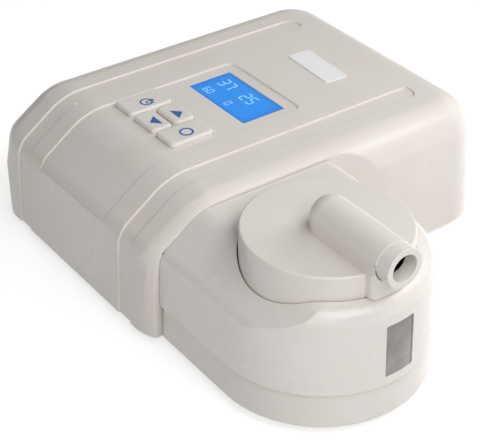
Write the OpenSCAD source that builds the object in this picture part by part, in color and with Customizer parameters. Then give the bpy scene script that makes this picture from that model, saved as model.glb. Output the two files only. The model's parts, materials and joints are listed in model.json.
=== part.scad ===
/* [Main case] */
// Width of the main case at its foot
case_w = 188; // [184:0.5:196]
// Depth of the main case at its foot
case_d = 240; // [236:0.5:250]
// Height of the main case from its lower edge to its flat top
case_h = 77; // [75:0.5:84]
// Wall of the moulded casings
wall = 2.6; // [2:0.1:3]
// Lean of the outer walls, in degrees from upright
draft = 2.5; // [0.5:0.1:3]
// Roundness of the long top edges
edge_r = 20; // [16:0.5:22]
// Roundness of the upright corners
corner_r = 26; // [20:0.5:28]
// Depth of the slope between the flat top and the front face
slope_d = 34; // [30:0.5:38]
// Drop of that slope
slope_h = 24; // [20:0.5:26]
// Height of the feet
foot_h = 5; // [4:0.5:8]
// Radius of the feet
foot_r = 7; // [5:0.5:9]
// Thickness of the chassis plate
floor_t = 3; // [2:0.5:4]

/* [Top face] */
// Distance from the case's middle to the outer edge of each long groove
groove_out = 62; // [58:0.5:64]
// Width of each long groove
groove_w = 11.5; // [8:0.5:14]
// Depth of the long grooves
groove_deep = 0.9; // [0.5:0.1:1.2]
// Width of the sunk control field
field_w = 70; // [68:0.5:76]
// Depth of the sunk control field
field_deep = 0.9; // [0.5:0.1:1.2]
// Width of the display window
lcd_w = 56; // [50:0.5:58]
// Depth of the display window
lcd_d = 30; // [26:0.5:32]
// Width of the blank plate
plate_w = 41; // [34:0.5:46]
// Depth of the blank plate
plate_d = 15.5; // [12:0.5:20]
// Thickness of the blank plate
plate_t = 0.5; // [0.3:0.1:1]

/* [Keys] */
// Width of the left key
key_left_w = 19; // [17:0.5:20]
// Width of the two middle keys
key_mid_w = 21.5; // [18:0.5:22]
// Width of the right key
key_right_w = 18; // [16:0.5:19]
// Depth of the outer keys
key_d = 29.5; // [26:0.5:31]
// Gap between neighbouring keys
key_gap = 1.7; // [1.4:0.1:2.2]
// Height that the keys stand above the control field
key_rise = 2.4; // [1:0.1:3]
// Travel of the keys
key_travel = 0.8; // [0.4:0.1:1]

/* [Humidifier] */
// Radius of the round end of the humidifier
hum_r = 61.5; // [60:0.5:64]
// Drop from the flat top of the case to that of the humidifier
hum_drop = 4.8; // [4:0.2:7]
// Roundness of the humidifier's top edge
hum_edge_r = 10; // [7:0.5:12]
// Height of the lower tray above the case's lower edge
tray_h = 21.3; // [20:0.1:23]
// Radius of the heater plate
heater_r = 40; // [36:0.5:41]
// Thickness of the heater plate
heater_t = 2.8; // [2:0.1:4]
// Outer radius of the water tub
tub_r = 43; // [42:0.5:44]
// Outer radius of the lid
lid_r = 45.3; // [44.5:0.1:46]
// Rise of the lid's top above the flat top of the case
lid_rise = 8.8; // [7:0.2:11]
// Outer radius of the outlet tube
tube_r = 11; // [10.5:0.05:11.5]
// Bore radius of the outlet tube
tube_bore = 7.5; // [6:0.05:8.5]
// Height of the outlet tube's middle above the lid's top
tube_up = 7; // [6:0.5:9]
// Reach of the outlet tube from the middle of the lid
tube_reach = 58.5; // [56:0.5:62]
// Width of the water window
window_w = 18.6; // [14:0.2:22]
// Height of the water window
window_h = 31.5; // [26:0.5:33]
// Radius of the air port between the case and the water chamber
port_r = 9; // [7:0.5:10]

/* [Blower] */
// Inner radius of the blower's scroll
scroll_r = 31; // [30:0.5:33]
// Radius of the impeller
fan_r = 27; // [24:0.5:28]
// Number of impeller blades
fan_blades = 11; // [7:1:15]
// Radius of the motor shaft
shaft_r = 2; // [1.5:0.1:2.5]
// Radius of the oxygen nozzle
nozzle_r = 4; // [3:0.1:5]
// Length of the oxygen nozzle
nozzle_l = 16; // [12:0.5:20]

/* [Hidden] */
$fn = 96;
gap = 0.3;
running = 0.05;
arc_step = 9;

// Levels of the main case
base_z = foot_h;
top_z = base_z + case_h;
deck_z = base_z + floor_t;
field_z = top_z - field_deep;
under_z = top_z - wall;
lean = tan(draft);
bend_r = 16;
shoulder_r = 35;
slope_a = atan2(slope_h, slope_d);
edge_a = acos(sin(draft) * cos(slope_a));

// Places in plan: the middle of the whole width and depth is at zero
dock_in = 11.6;
hum_len = 60.6;
lid_off = 4.5;
hum_back = 68.5;
half_w = (case_w - dock_in + hum_len + lid_off + tube_reach) / 2;
half_d = (case_d + nozzle_l + 4) / 2;
left_x = -half_w;
right_x = left_x + case_w;
cx = left_x + case_w / 2;
front_y = -half_d;
back_y = front_y + case_d;
dock_x = right_x - dock_in;
hx = dock_x + hum_len;
hy = front_y + hum_back;
lx = hx + lid_off;
mouth_x = lx + tube_reach;
dock_back = hy + hum_r + 2;
// Length over which the bay's wall comes out to the case's right side, behind the humidifier
dock_run = 26;
dock_bend_r = 30;

// Levels of the humidifier
tray_top = base_z + tray_h;
heater_top = tray_top + gap;
tub_plate_t = 1.2;
tub_floor = heater_top + tub_plate_t;
hous_z = tray_top + 2 * gap;
hum_top = top_z - hum_drop;
hum_slope_d = 26.5;
hum_slope_h = 18.2;
hum_x0 = dock_x + 2 * gap;
well_r = lid_r + 2 * gap;
lid_top = top_z + lid_rise;
ledge_z = hum_top - 21.2;
ledge_top = ledge_z + wall;
ledge_r = heater_r;
flange_t = 2.4;
tube_z = lid_top + tube_up;
port_z = ledge_z - port_r - 1.1;

// Levels of the blower, whose outlet lines up with the air port
scroll_off = 21.5;
bx = cx + 26;
by = hy + scroll_off;
duct_r = port_r + 3;
scroll_h = 18;
scroll_z = port_z - duct_r;
eye_r = 13;
eye_z = scroll_z + scroll_h + 2 * wall;
cup_z = deck_z + 5;
mount_z = deck_z + 10;

// Display, keys and switches under the top face
display_z = under_z - 11.4;
board_t = 1.6;
switch_z = display_z + board_t + 3.5;
lcd_x = cx - 0.6;
lcd_y = front_y + 118.5;
field_x0 = cx - 36.4;
field_y1 = lcd_y + lcd_d / 2 + 7.5;
groove_end = 78;
display_holes = [for (x = [cx - 41, cx + 37], y = [lcd_y - 65.5, lcd_y + 16.5]) [x, y]];
key_side = 0.25;
key_round = 3;
key_flange_t = 1.9;
key_x0 = cx - 35;
key_mid_x = key_x0 + key_left_w + key_gap;
key_right_x = key_mid_x + key_mid_w + key_gap;
key_y1 = front_y + 83.8;
key_y0 = key_y1 - key_d;
key_half = (key_d - key_gap) / 2;
key_places = [[key_x0, key_x0 + key_left_w, key_y0, key_y1],
    [key_mid_x, key_mid_x + key_mid_w, key_y0, key_y0 + key_half],
    [key_mid_x, key_mid_x + key_mid_w, key_y1 - key_half, key_y1],
    [key_right_x, key_right_x + key_right_w, key_y0, key_y1]];

// Feet, screws and boards
screw_r = 1.5;
screw_l = 17;
pin_r = 1.25;
board_z = deck_z + 8;
feet = [[left_x + 16, front_y + 18], [left_x + 16, back_y - 18], [right_x - 12, back_y - 26],
    [dock_x - 10.4, front_y + 18]];
tray_feet = [[hx + 35, hy - 30.5], [hx + 35, hy + 30.5]];
main_x0 = left_x + 14;
main_y0 = front_y + 44;
main_w = 66;
main_d = 78;
supply_x0 = left_x + 8;
supply_y0 = front_y + 132;
supply_w = 54;
supply_d = 76;
main_holes = [for (x = [main_x0 + 4, main_x0 + main_w - 4], y = [main_y0 + 4, main_y0 + main_d - 4]) [x, y]];
supply_holes = [for (x = [supply_x0 + 4, supply_x0 + supply_w - 4],
    y = [supply_y0 + 4, supply_y0 + supply_d - 4]) [x, y]];
speaker_x = cx;
speaker_y = front_y + 32;

// Power inlet and rocker on the rear wall
inlet_x0 = left_x + 20;
inlet_w = 50;
inlet_h = 32;
inlet_rim = 2.5;
inlet_z = deck_z + 24;
inlet_seat = back_y - 2.1;
inlet_face = inlet_seat + 2.5;
socket_x0 = inlet_x0 + 5.5;
socket_w = 25;
socket_h = 17;
socket_y = inlet_seat - 14;
rocker_x = inlet_x0 + 39.5;
rocker_y = inlet_seat - 3.9;

// Oxygen path
ox_x = left_x + 82;
ox_z = deck_z + 22;
ox_seat = back_y - 2;
ox_flange_r = 9;
ox_stem_r = 6;
gas_r = 2.5;
plunger_r = 4;
valve_y0 = back_y - 60;
valve_y1 = back_y - 30;
valve_y = (valve_y0 + valve_y1) / 2;
valve_z = ox_z - 10;
valve_top = ox_z + 12;
seat_z = ox_z - gas_r - 1;

// Mixing box, filter and hood
hood_z = eye_z + gap;
hood_y = back_y - 84;
box_x0 = cx + 4;
box_x1 = right_x - 20;
box_y0 = dock_back + 8;
box_y1 = back_y - 25;
neck_x0 = cx + 11;
neck_x1 = cx + 61;
neck_y = back_y - 4.8;
neck_z0 = deck_z + 6;
neck_z1 = deck_z + 42;
filter_w = 54;
filter_h = 40;
filter_in = 1.4;
filter_x0 = (neck_x0 + neck_x1 - filter_w) / 2;
filter_z0 = (neck_z0 + neck_z1 - filter_h) / 2;
sensor_x = box_x0 + 17;
sensor_y = box_y1 - 16;

// Motor and the duct to the port
cup_r = 19;
stator_z = cup_z + 8;
stator_top = scroll_z + wall - 0.1;
stator_lid = stator_top - 2.4;
magnet_r = 8;
bearing_r = 5;
bearing_h = 4;
fan_z = scroll_z + wall + 1.5;
nozzle_x = bx + 32;
seal_r = port_r + 1.4;
seal_x0 = dock_x - wall - 2.6;

// Humidifier tray, heater and lid
tray_in = 1.5;
tongue_x = dock_x - 18.4;
tongue_y0 = hy - 38.5;
tongue_y1 = hy + 41.5;
tongue_z = deck_z + 3;
tray_holes = [[tongue_x + 7, tongue_y0 + 10], [tongue_x + 7, tongue_y1 - 10]];
heater_low = heater_top - heater_t;
heater_film = 1.4;
window_y = hy + 3.5;
window_z = hous_z + 4.6;
plug_r = ledge_r - 0.4;
seal_z = ledge_top - 1.3;
spigot_r = 14;
spigot_top = lid_top - wall - 2.4;
lid_low = ledge_top + flange_t + 0.5;
tube_x0 = lx - 8;
tube_body_r = tube_r + 0.4;
tube_end_x = tube_x0 + tube_body_r;
passage_x = lx + 3.5;
skirt_x = lx + 50;

function unit(v) = v / norm(v);
function xy(p) = [p[0], p[1]];
function before(l, i) = xy(l[(i + len(l) - 1) % len(l)]);
function after(l, i) = xy(l[(i + 1) % len(l)]);
function half_angle(a, b, c) = acos(unit(a - b) * unit(c - b)) / 2;
function arc_centre(a, b, c, r) = b + unit(unit(a - b) + unit(c - b)) * r / sin(half_angle(a, b, c));
// Points along the arc of radius r that rounds the corner b between a and c
function arc(a, b, c, r) = r == 0 ? [b] : let (h = half_angle(a, b, c), m = arc_centre(a, b, c, r),
    s = b + unit(a - b) * r / tan(h) - m, e = b + unit(c - b) * r / tan(h) - m,
    turn = 180 - 2 * h, n = ceil(turn / arc_step))
    [for (k = [0:n]) m + (s * sin(turn * (1 - k / n)) + e * sin(turn * k / n)) / sin(turn)];
// Moves every side of a convex outline inwards by w; each corner is [x, y, radius]
function inset(l, w) = [for (i = [0:len(l) - 1])
    let (m = arc_centre(before(l, i), xy(l[i]), after(l, i), w))
    [m[0], m[1], l[i][2] == 0 ? 0 : max(l[i][2] - w, 0.4)]];

// Side, front and plan outlines of the main case, reaching low below its lower edge
function case_side(low) = [[front_y - lean * low, base_z - low, 0],
    [front_y + lean * (case_h - slope_h), top_z - slope_h, bend_r],
    [front_y + lean * (case_h - slope_h) + slope_d, top_z, shoulder_r],
    [back_y - lean * case_h, top_z, edge_r], [back_y + lean * low, base_z - low, 0]];
function case_front(low) = [[left_x - lean * low, base_z - low, 0], [left_x + lean * case_h, top_z, edge_r],
    [right_x - lean * case_h, top_z, edge_r], [right_x + lean * low, base_z - low, 0]];
function case_plan() = [[left_x, front_y, corner_r], [right_x, front_y, corner_r],
    [right_x, back_y, corner_r], [left_x, back_y, corner_r]];
// Outlines of the humidifier: its round end and straight sides, and the slope that cuts its front
function hum_foot(low) = hum_r + lean * (hous_z - base_z + low);
function hum_front() = let (y0 = -hum_r + lean * (hum_top - hum_slope_h - hous_z))
    [[-hum_foot(0), base_z, 0], [y0, hum_top - hum_slope_h, 12], [y0 + hum_slope_d, hum_top, 14],
    [hum_r, hum_top, 0], [hum_foot(0), base_z, 0]];
function past(a, b) = b + (b - a) * 2;
function bend(l, i) = arc(before(l, i), xy(l[i]), after(l, i), l[i][2]);
function hum_dome(low) = [[-hum_foot(low), base_z - low, 0],
    [-hum_r + lean * (hum_top - hous_z), hum_top, hum_edge_r],
    [hum_r - lean * (hum_top - hous_z), hum_top, hum_edge_r],
    [hum_foot(low), base_z - low, 0]];

module rounded(l) polygon([for (i = [0:len(l) - 1])
    each arc(before(l, i), xy(l[i]), after(l, i), l[i][2])]);
module along_x(x0, x1) translate([x0, 0, 0]) rotate([90, 0, 90]) linear_extrude(x1 - x0) children();
module along_y(y0, y1) translate([0, y1, 0]) rotate([90, 0, 0]) linear_extrude(y1 - y0) children();
module block(a, b) translate(a) cube(b - a);
module post(x, y, z0, z1, r) translate([x, y, z0]) cylinder(r = r, h = z1 - z0);
module ring(x, y, z0, z1, r, bore) difference() {
    post(x, y, z0, z1, r);
    post(x, y, z0 - 1, z1 + 1, bore);
}
module pipe_x(x0, x1, y, z, r) translate([x0, y, z]) rotate([0, 90, 0]) cylinder(r = r, h = x1 - x0);
module pipe_y(x, y0, y1, z, r) translate([x, y1, z]) rotate([90, 0, 0]) cylinder(r = r, h = y1 - y0);

// Rounds one side of the slope like the long top edges, as a block that lies along the slope
module slope_side(way, w) translate([cx, 0, 0]) mirror([way < 0 ? 1 : 0, 0, 0])
    translate([case_w / 2 - lean * (case_h - slope_h), front_y + lean * (case_h - slope_h), top_z - slope_h])
    rotate([90 + slope_a, 0, 0]) rotate([0, asin(sin(draft) * sin(slope_a) / sin(edge_a)), 0])
    translate([0, 0, -300]) linear_extrude(600) rounded(inset([[-300, -200, 0], [-300, 0, 0],
        [0, 0, edge_r], [200 / tan(edge_a), -200, 0]], w - 0.05));
// The main case's form with its sides moved in by w
module case_form(w, low = 0) {
    intersection() {
        slope_side(1, w);
        slope_side(-1, w);
        along_x(left_x - 20, right_x + 20) rounded(inset(case_side(low), w));
        along_y(front_y - 20, back_y + 20) rounded(inset(case_front(low), w));
        linear_extrude(top_z + 20) rounded(inset(case_plan(), w));
    }
}
// The bay at the right front where the humidifier stands
module dock(grow) slab(-1, top_z + 20) rounded(inset([[dock_x, front_y - 20, 0],
    [dock_x, dock_back, dock_bend_r], [right_x + 20, dock_back + dock_run * (1 + 20 / dock_in), 0],
    [right_x + 20, front_y - 20, 0]], -grow));
module hum_half(w, low) intersection() {
    rounded(inset(hum_dome(low), w));
    translate([0, -base_z]) square([2 * hum_r, 2 * top_z]);
}
module hum_slope(w) {
    low = bend(inset(hum_front(), w), 1);
    high = bend(inset(hum_front(), w), 2);
    n = len(low) - 1;
    m = len(high) - 1;
    from = past(low[1], low[0]);
    to = past(high[m - 1], high[m]);
    polygon(concat([from], [for (k = [1:n]) low[k]], [for (k = [0:m - 1]) high[k]], [to],
        [[to[0], top_z + 20], [-2 * hum_r, top_z + 20], [-2 * hum_r, from[1]]]));
}
module hum_form(w, low = 0) translate([0, hy, 0]) difference() {
    union() {
        along_x(hum_x0 + w, hx) {
            hum_half(w, low);
            mirror([1, 0, 0]) hum_half(w, low);
        }
        translate([hx, 0, 0]) rotate([0, 0, -90]) rotate_extrude(angle = 180) hum_half(w, low);
    }
    along_x(hum_x0 - 5, mouth_x + 20) hum_slope(w);
}
module slab(z0, z1) translate([0, 0, z0]) linear_extrude(z1 - z0) children();
module plan(x0, x1, y0, y1, r) rounded([[x0, y0, r], [x1, y0, r], [x1, y1, r], [x0, y1, r]]);
// The skin of the main case from out above its surface to deep below it
module skin(out, deep) difference() {
    rounded(inset(case_side(20), -out));
    rounded(inset(case_side(20), deep));
}
module screw(x, y, z, way, r, length, head_r, head) {
    post(x, y, way > 0 ? z : z - length, way > 0 ? z + length : z, r);
    post(x, y, way > 0 ? z - head : z, way > 0 ? z : z + head, head_r);
}

module groove() intersection() {
    along_x(cx, right_x) skin(2, groove_deep);
    slab(base_z - 1, top_z + 3) rounded([[cx + groove_out - groove_w, front_y - 20, 0],
        [cx + groove_out, front_y - 20, 0], [cx + groove_out, groove_end, groove_w * 0.6],
        [cx + groove_out - groove_w, groove_end, groove_w * 0.2]]);
}
module field() intersection() {
    along_x(field_x0 - 1, field_x0 + field_w + 1) difference() {
        rounded(inset(case_side(20), -2));
        translate([0, -field_deep]) rounded(case_side(20));
    }
    slab(base_z, top_z + 3) rounded([[field_x0, front_y + 3.2, 0], [field_x0 + field_w, front_y + 3.2, 0],
        [field_x0 + field_w, field_y1, 5], [field_x0, field_y1, 5]]);
}
module key_plans(grow) {
    for (k = key_places) plan(k[0] - grow, k[1] + grow, k[2] - grow, k[3] + grow, key_round + grow);
}

module base_chassis() color([0.78, 0.78, 0.77]) {
    difference() {
        union() {
            difference() {
                slab(base_z, deck_z) rounded(inset(case_plan(), wall + gap));
                dock(wall + gap);
            }
            for (p = concat(main_holes, supply_holes)) post(p[0], p[1], deck_z, board_z, 3);
            block([ox_x - 8, valve_y0 + 4, deck_z], [ox_x + 8, valve_y1 - 4, valve_z]);
        }
        for (p = feet) post(p[0], p[1], base_z - 1, deck_z + 1, screw_r + running);
        for (p = concat(main_holes, supply_holes)) post(p[0], p[1], board_z - 6, board_z + 1, pin_r + running);
        for (p = tray_holes) post(p[0], p[1], base_z - 1, deck_z + 1, screw_r + running);
        for (k = [-2:2]) block([speaker_x + 4 * k - 1, speaker_y - 8, base_z - 1],
            [speaker_x + 4 * k + 1, speaker_y + 8, deck_z + 1]);
    }
}
module top_cover() color([0.87, 0.86, 0.84]) {
    difference() {
        union() {
            difference() {
                case_form(0);
                dock(0);
                difference() {
                    case_form(wall, 2 * wall);
                    dock(wall);
                }
            }
            intersection() {
                for (p = feet) post(p[0], p[1], deck_z, top_z, 4);
                case_form(wall / 2);
            }
            for (p = display_holes) post(p[0], p[1], display_z + board_t, under_z + 0.5, 3);
        }
        for (p = feet) post(p[0], p[1], base_z, base_z + screw_l + 2, screw_r + running);
        for (p = display_holes) post(p[0], p[1], display_z, display_z + 8, pin_r + running);
        groove();
        translate([2 * cx, 0, 0]) mirror([1, 0, 0]) groove();
        field();
        slab(under_z - 1, top_z) plan(lcd_x - lcd_w / 2, lcd_x + lcd_w / 2,
            lcd_y - lcd_d / 2, lcd_y + lcd_d / 2, 1);
        slab(under_z - 1, top_z) key_plans(key_side);
        pipe_x(dock_x - wall - 1, dock_x + 1, hy, port_z, seal_r + running);
        block([dock_x - wall - 1, tongue_y0 - gap, base_z - 1], [dock_x + 1, tongue_y1 + gap, tongue_z + gap]);
        block([inlet_x0 - gap, inlet_seat, inlet_z - inlet_h / 2 - gap],
            [inlet_x0 + inlet_w + gap, back_y + 5, inlet_z + inlet_h / 2 + gap]);
        block([inlet_x0 + inlet_rim - gap, back_y - 10, inlet_z - inlet_h / 2 + inlet_rim - gap],
            [inlet_x0 + inlet_w - inlet_rim + gap, back_y + 5, inlet_z + inlet_h / 2 - inlet_rim + gap]);
        pipe_y(ox_x, ox_seat, back_y + 5, ox_z, ox_flange_r + gap);
        pipe_y(ox_x, back_y - 10, back_y + 5, ox_z, ox_stem_r + running);
        intersection() {
            along_x(filter_x0 - gap, filter_x0 + filter_w + gap) skin(3, filter_in + running);
            block([left_x, back_y - 20, filter_z0 - gap], [right_x, back_y + 9, filter_z0 + filter_h + gap]);
        }
        block([filter_x0 + 4, back_y - 15, filter_z0 + 4],
            [filter_x0 + filter_w - 4, back_y + 5, filter_z0 + filter_h - 4]);
    }
}
module name_plate() color([0.96, 0.96, 0.95]) {
    translate([cx - 1, front_y + 180.7, top_z]) rotate([0, 0, -3])
        linear_extrude(plate_t) plan(-plate_w / 2, plate_w / 2, -plate_d / 2, plate_d / 2, 1.2);
}
module lcd_window() color([0.24, 0.55, 0.98]) {
    slab(under_z - 1.4, under_z) plan(lcd_x - lcd_w / 2 - 2.5, lcd_x + lcd_w / 2 + 2.5,
        lcd_y - lcd_d / 2 - 3, lcd_y + lcd_d / 2 + 3, 2);
    slab(under_z - 1, field_z - 0.4) plan(lcd_x - lcd_w / 2 + 0.2, lcd_x + lcd_w / 2 - 0.2,
        lcd_y - lcd_d / 2 + 0.2, lcd_y + lcd_d / 2 - 0.2, 1);
}
module lcd_module() color([0.2, 0.3, 0.25]) {
    block([lcd_x - lcd_w / 2 - 4, lcd_y - lcd_d / 2 - 5, display_z + board_t],
        [lcd_x + lcd_w / 2 + 4, lcd_y + lcd_d / 2 + 4, under_z - 1.4]);
}
module display_board() color([0.1, 0.4, 0.25]) {
    difference() {
        slab(display_z, display_z + board_t) plan(cx - 44, cx + 40, lcd_y - 68.5, lcd_y + 19.5, 3);
        for (p = display_holes) post(p[0], p[1], display_z - 1, display_z + board_t + 1, pin_r + running);
    }
}
module board_screws() color([0.75, 0.75, 0.77]) {
    for (p = concat(main_holes, supply_holes)) screw(p[0], p[1], board_z + board_t, -1, pin_r, 6, 2.4, 1.6);
    for (p = display_holes) screw(p[0], p[1], display_z, 1, pin_r, 8, 2.4, 1.6);
}
module tact_switches() color([0.15, 0.15, 0.16]) {
    for (k = key_places) {
        x = (k[0] + k[1]) / 2;
        y = (k[2] + k[3]) / 2;
        block([x - 3, y - 3, display_z + board_t], [x + 3, y + 3, switch_z]);
        post(x, y, switch_z - 1, switch_z + 0.8, 1.75);
    }
}
module key(k) color([0.86, 0.86, 0.85]) {
    slab(under_z - gap - key_flange_t, under_z - gap)
        plan(k[0] - 0.5, k[1] + 0.5, k[2] - 0.5, k[3] + 0.5, key_round);
    slab(under_z - gap - 1, field_z + key_rise) plan(k[0], k[1], k[2], k[3], key_round);
    post((k[0] + k[1]) / 2, (k[2] + k[3]) / 2, switch_z + 0.8 + key_travel + 0.1, under_z - 2, 2);
}
module key_menu() key(key_places[0]);
module key_down() key(key_places[1]);
module key_up() key(key_places[2]);
module key_power() key(key_places[3]);
module main_board() color([0.1, 0.4, 0.25]) {
    difference() {
        slab(board_z, board_z + board_t) plan(main_x0, main_x0 + main_w, main_y0, main_y0 + main_d, 2);
        for (p = main_holes) post(p[0], p[1], board_z - 1, board_z + board_t + 1, pin_r + running);
    }
}
module board_parts() color([0.16, 0.16, 0.17]) {
    z = board_z + board_t;
    block([main_x0 + 22, main_y0 + 30, z], [main_x0 + 36, main_y0 + 44, z + 1.6]);
    block([main_x0 + 44, main_y0 + 34, z], [main_x0 + 52, main_y0 + 40, z + 1.5]);
    block([main_x0 + 12, main_y0 + 54, z], [main_x0 + 22, main_y0 + 60, z + 1.8]);
    block([main_x0 + 10, main_y0 + 4, z], [main_x0 + 34, main_y0 + 10, z + 9]);
    block([main_x0 + 40, main_y0 + 4, z], [main_x0 + 54, main_y0 + 10, z + 9]);
    block([main_x0 + 56, main_y0 + 20, z], [main_x0 + 63, main_y0 + 44, z + 8]);
    post(main_x0 + 14, main_y0 + 22, z, z + 12, 4);
    post(main_x0 + 26, main_y0 + 66, z, z + 3, 6);
    post(main_x0 + 46, main_y0 + 62, z, z + 9, 6.5);
}
module supply_board() color([0.55, 0.42, 0.2]) {
    difference() {
        slab(board_z, board_z + board_t)
            plan(supply_x0, supply_x0 + supply_w, supply_y0, supply_y0 + supply_d, 2);
        for (p = supply_holes) post(p[0], p[1], board_z - 1, board_z + board_t + 1, pin_r + running);
    }
}
module supply_parts() color([0.2, 0.22, 0.3]) {
    z = board_z + board_t;
    block([supply_x0 + 12, supply_y0 + 22, z], [supply_x0 + 42, supply_y0 + 50, z + 25]);
    post(supply_x0 + 14, supply_y0 + 62, z, z + 26, 9);
    post(supply_x0 + 38, supply_y0 + 12, z, z + 20, 6);
    post(supply_x0 + 22, supply_y0 + 12, z, z + 20, 6);
    block([supply_x0 + 28, supply_y0 + 56, z], [supply_x0 + 46, supply_y0 + 70, z + 18]);
    block([supply_x0 + 45, supply_y0 + 16, z], [supply_x0 + 49, supply_y0 + 52, z + 24]);
}
module power_inlet() color([0.13, 0.13, 0.14]) {
    difference() {
        union() {
            block([inlet_x0, inlet_seat, inlet_z - inlet_h / 2],
                [inlet_x0 + inlet_w, inlet_face, inlet_z + inlet_h / 2]);
            block([inlet_x0 + inlet_rim, inlet_seat - 20, inlet_z - inlet_h / 2 + inlet_rim],
                [inlet_x0 + inlet_w - inlet_rim, inlet_seat + 1, inlet_z + inlet_h / 2 - inlet_rim]);
        }
        block([socket_x0, socket_y, inlet_z - socket_h / 2],
            [socket_x0 + socket_w, inlet_face + 1, inlet_z + socket_h / 2]);
        block([rocker_x - 6, rocker_y - 4, inlet_z - 10], [rocker_x + 6, inlet_face + 1, inlet_z + 10]);
        pipe_x(rocker_x - 7.6, rocker_x + 7.6, rocker_y, inlet_z, 1.5 + running);
    }
}
module inlet_pins() color([0.8, 0.68, 0.35]) {
    for (k = [-1:1]) block([socket_x0 + socket_w / 2 + 7 * k - 1, socket_y, inlet_z - 2.5 + (k == 0 ? 4 : 0)],
        [socket_x0 + socket_w / 2 + 7 * k + 1, socket_y + 11, inlet_z + 2.5 + (k == 0 ? 2 : 0)]);
}
module power_rocker() color([0.1, 0.1, 0.1]) {
    translate([rocker_x, rocker_y, inlet_z]) rotate([-7, 0, 0]) {
        block([-5.7, 0, -8.8], [5.7, 7.5, 8.8]);
        pipe_x(-7.5, 7.5, 0, 0, 1.5);
    }
}
module alarm_speaker() color([0.12, 0.12, 0.12]) {
    ring(speaker_x, speaker_y, deck_z, deck_z + 4, 13, 10);
    post(speaker_x, speaker_y, deck_z + 1, deck_z + 4, 10.5);
    post(speaker_x, speaker_y, deck_z + 3, deck_z + 8, 7);
}
module oxygen_inlet() color([0.72, 0.72, 0.74]) {
    difference() {
        union() {
            pipe_y(ox_x, valve_y1, ox_seat + 1, ox_z, ox_stem_r);
            pipe_y(ox_x, ox_seat, back_y + 4, ox_z, ox_flange_r);
            pipe_y(ox_x, back_y + 3, back_y + 4 + nozzle_l, ox_z, nozzle_r);
        }
        pipe_y(ox_x, valve_y1 - 1, back_y + 5 + nozzle_l, ox_z, gas_r);
    }
}
module oxygen_valve() color([0.75, 0.66, 0.4]) {
    difference() {
        block([ox_x - 10, valve_y0, valve_z], [ox_x + 10, valve_y1, valve_top]);
        pipe_y(ox_x, valve_y0 - 1, valve_y1 + 1, ox_z, gas_r);
        post(ox_x, valve_y, seat_z, valve_top + 1, plunger_r + running);
    }
}
module valve_coil() color([0.25, 0.25, 0.27]) {
    difference() {
        post(ox_x, valve_y, valve_top, valve_top + 20, 9);
        post(ox_x, valve_y, valve_top - 1, valve_top + 18, plunger_r + running);
    }
}
module valve_plunger() color([0.75, 0.75, 0.78]) {
    post(ox_x, valve_y, seat_z + 0.1, valve_top + 16, plunger_r);
}
module oxygen_tube() color([0.85, 0.85, 0.88]) {
    difference() {
        oxygen_line(3);
        oxygen_line(1.8);
    }
}
module oxygen_line(r) {
    over = r < 3 ? 1 : 0;
    pipe_y(ox_x, box_y0 + 26, valve_y0 + over, ox_z, r);
    translate([ox_x + 6, box_y0 + 26, ox_z]) rotate([0, 0, 180]) rotate_extrude(angle = 90)
        translate([6, 0]) circle(r);
    pipe_x(ox_x + 6, box_x0 + over, box_y0 + 20, ox_z, r);
}
module mixing_box() color([0.8, 0.8, 0.8]) {
    difference() {
        union() {
            block([box_x0, box_y0, deck_z], [box_x1, box_y1, hood_z]);
            block([neck_x0, box_y1 - 1, neck_z0], [neck_x1, neck_y, neck_z1]);
        }
        block([box_x0 + 2.5, box_y0 + 2.5, deck_z + 2.5], [box_x1 - 2.5, box_y1 - 2.5, hood_z - 2.5]);
        block([neck_x0 + 2, box_y1 - 4, neck_z0 + 2], [neck_x1 - 2, neck_y + 1, neck_z1 - 2]);
        pipe_x(box_x0 - 1, box_x0 + 4, box_y0 + 20, ox_z, 1.8);
        post(bx, hood_y, hood_z - 4, hood_z + 1, eye_r);
        post(sensor_x, sensor_y, hood_z - 4, hood_z + 1, 8);
    }
}
module inlet_hood() color([0.8, 0.8, 0.8]) {
    difference() {
        slab(hood_z, hood_z + 8.6) plan(bx - 20, bx + 20, by - 17, hood_y + 16, 14);
        slab(hood_z + 1.6, hood_z + 7) plan(bx - 18.4, bx + 18.4, by - 15.4, hood_y + 14.4, 12.4);
        post(bx, by, hood_z - 1, hood_z + 3, eye_r);
        post(bx, hood_y, hood_z - 1, hood_z + 3, eye_r);
    }
}
module filter_cover() color([0.84, 0.83, 0.81]) {
    difference() {
        intersection() {
            along_x(filter_x0, filter_x0 + filter_w) skin(1.2, filter_in - 0.1);
            block([left_x, back_y - 20, filter_z0], [right_x, back_y + 9, filter_z0 + filter_h]);
        }
        for (k = [0:6]) block([filter_x0 + 6, back_y - 15, filter_z0 + 6 + 4.4 * k],
            [filter_x0 + filter_w - 6, back_y + 5, filter_z0 + 8.4 + 4.4 * k]);
    }
}
module filter_foam() color([0.22, 0.22, 0.24]) {
    block([neck_x0 + 2, neck_y - 7, neck_z0 + 2], [neck_x1 - 2, neck_y, neck_z1 - 2]);
}
module oxygen_sensor() color([0.2, 0.2, 0.22]) {
    post(sensor_x, sensor_y, hood_z, hood_z + 14, 13);
}
module blower_mounts() color([0.12, 0.12, 0.12]) {
    for (a = [90, 210, 330]) post(bx + 30 * cos(a), by + 30 * sin(a), deck_z, mount_z, 5);
}
module blower_half(z0, z1) intersection() {
    difference() {
        union() {
            post(bx, by, scroll_z, eye_z, scroll_r + wall);
            pipe_x(bx, nozzle_x, hy, port_z, duct_r);
        }
        post(bx, by, scroll_z + wall, eye_z - wall, scroll_r);
        pipe_x(bx, nozzle_x + 1, hy, port_z, duct_r - 2);
    }
    block([bx - 60, by - 60, z0], [bx + 60, by + 60, z1]);
}
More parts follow.
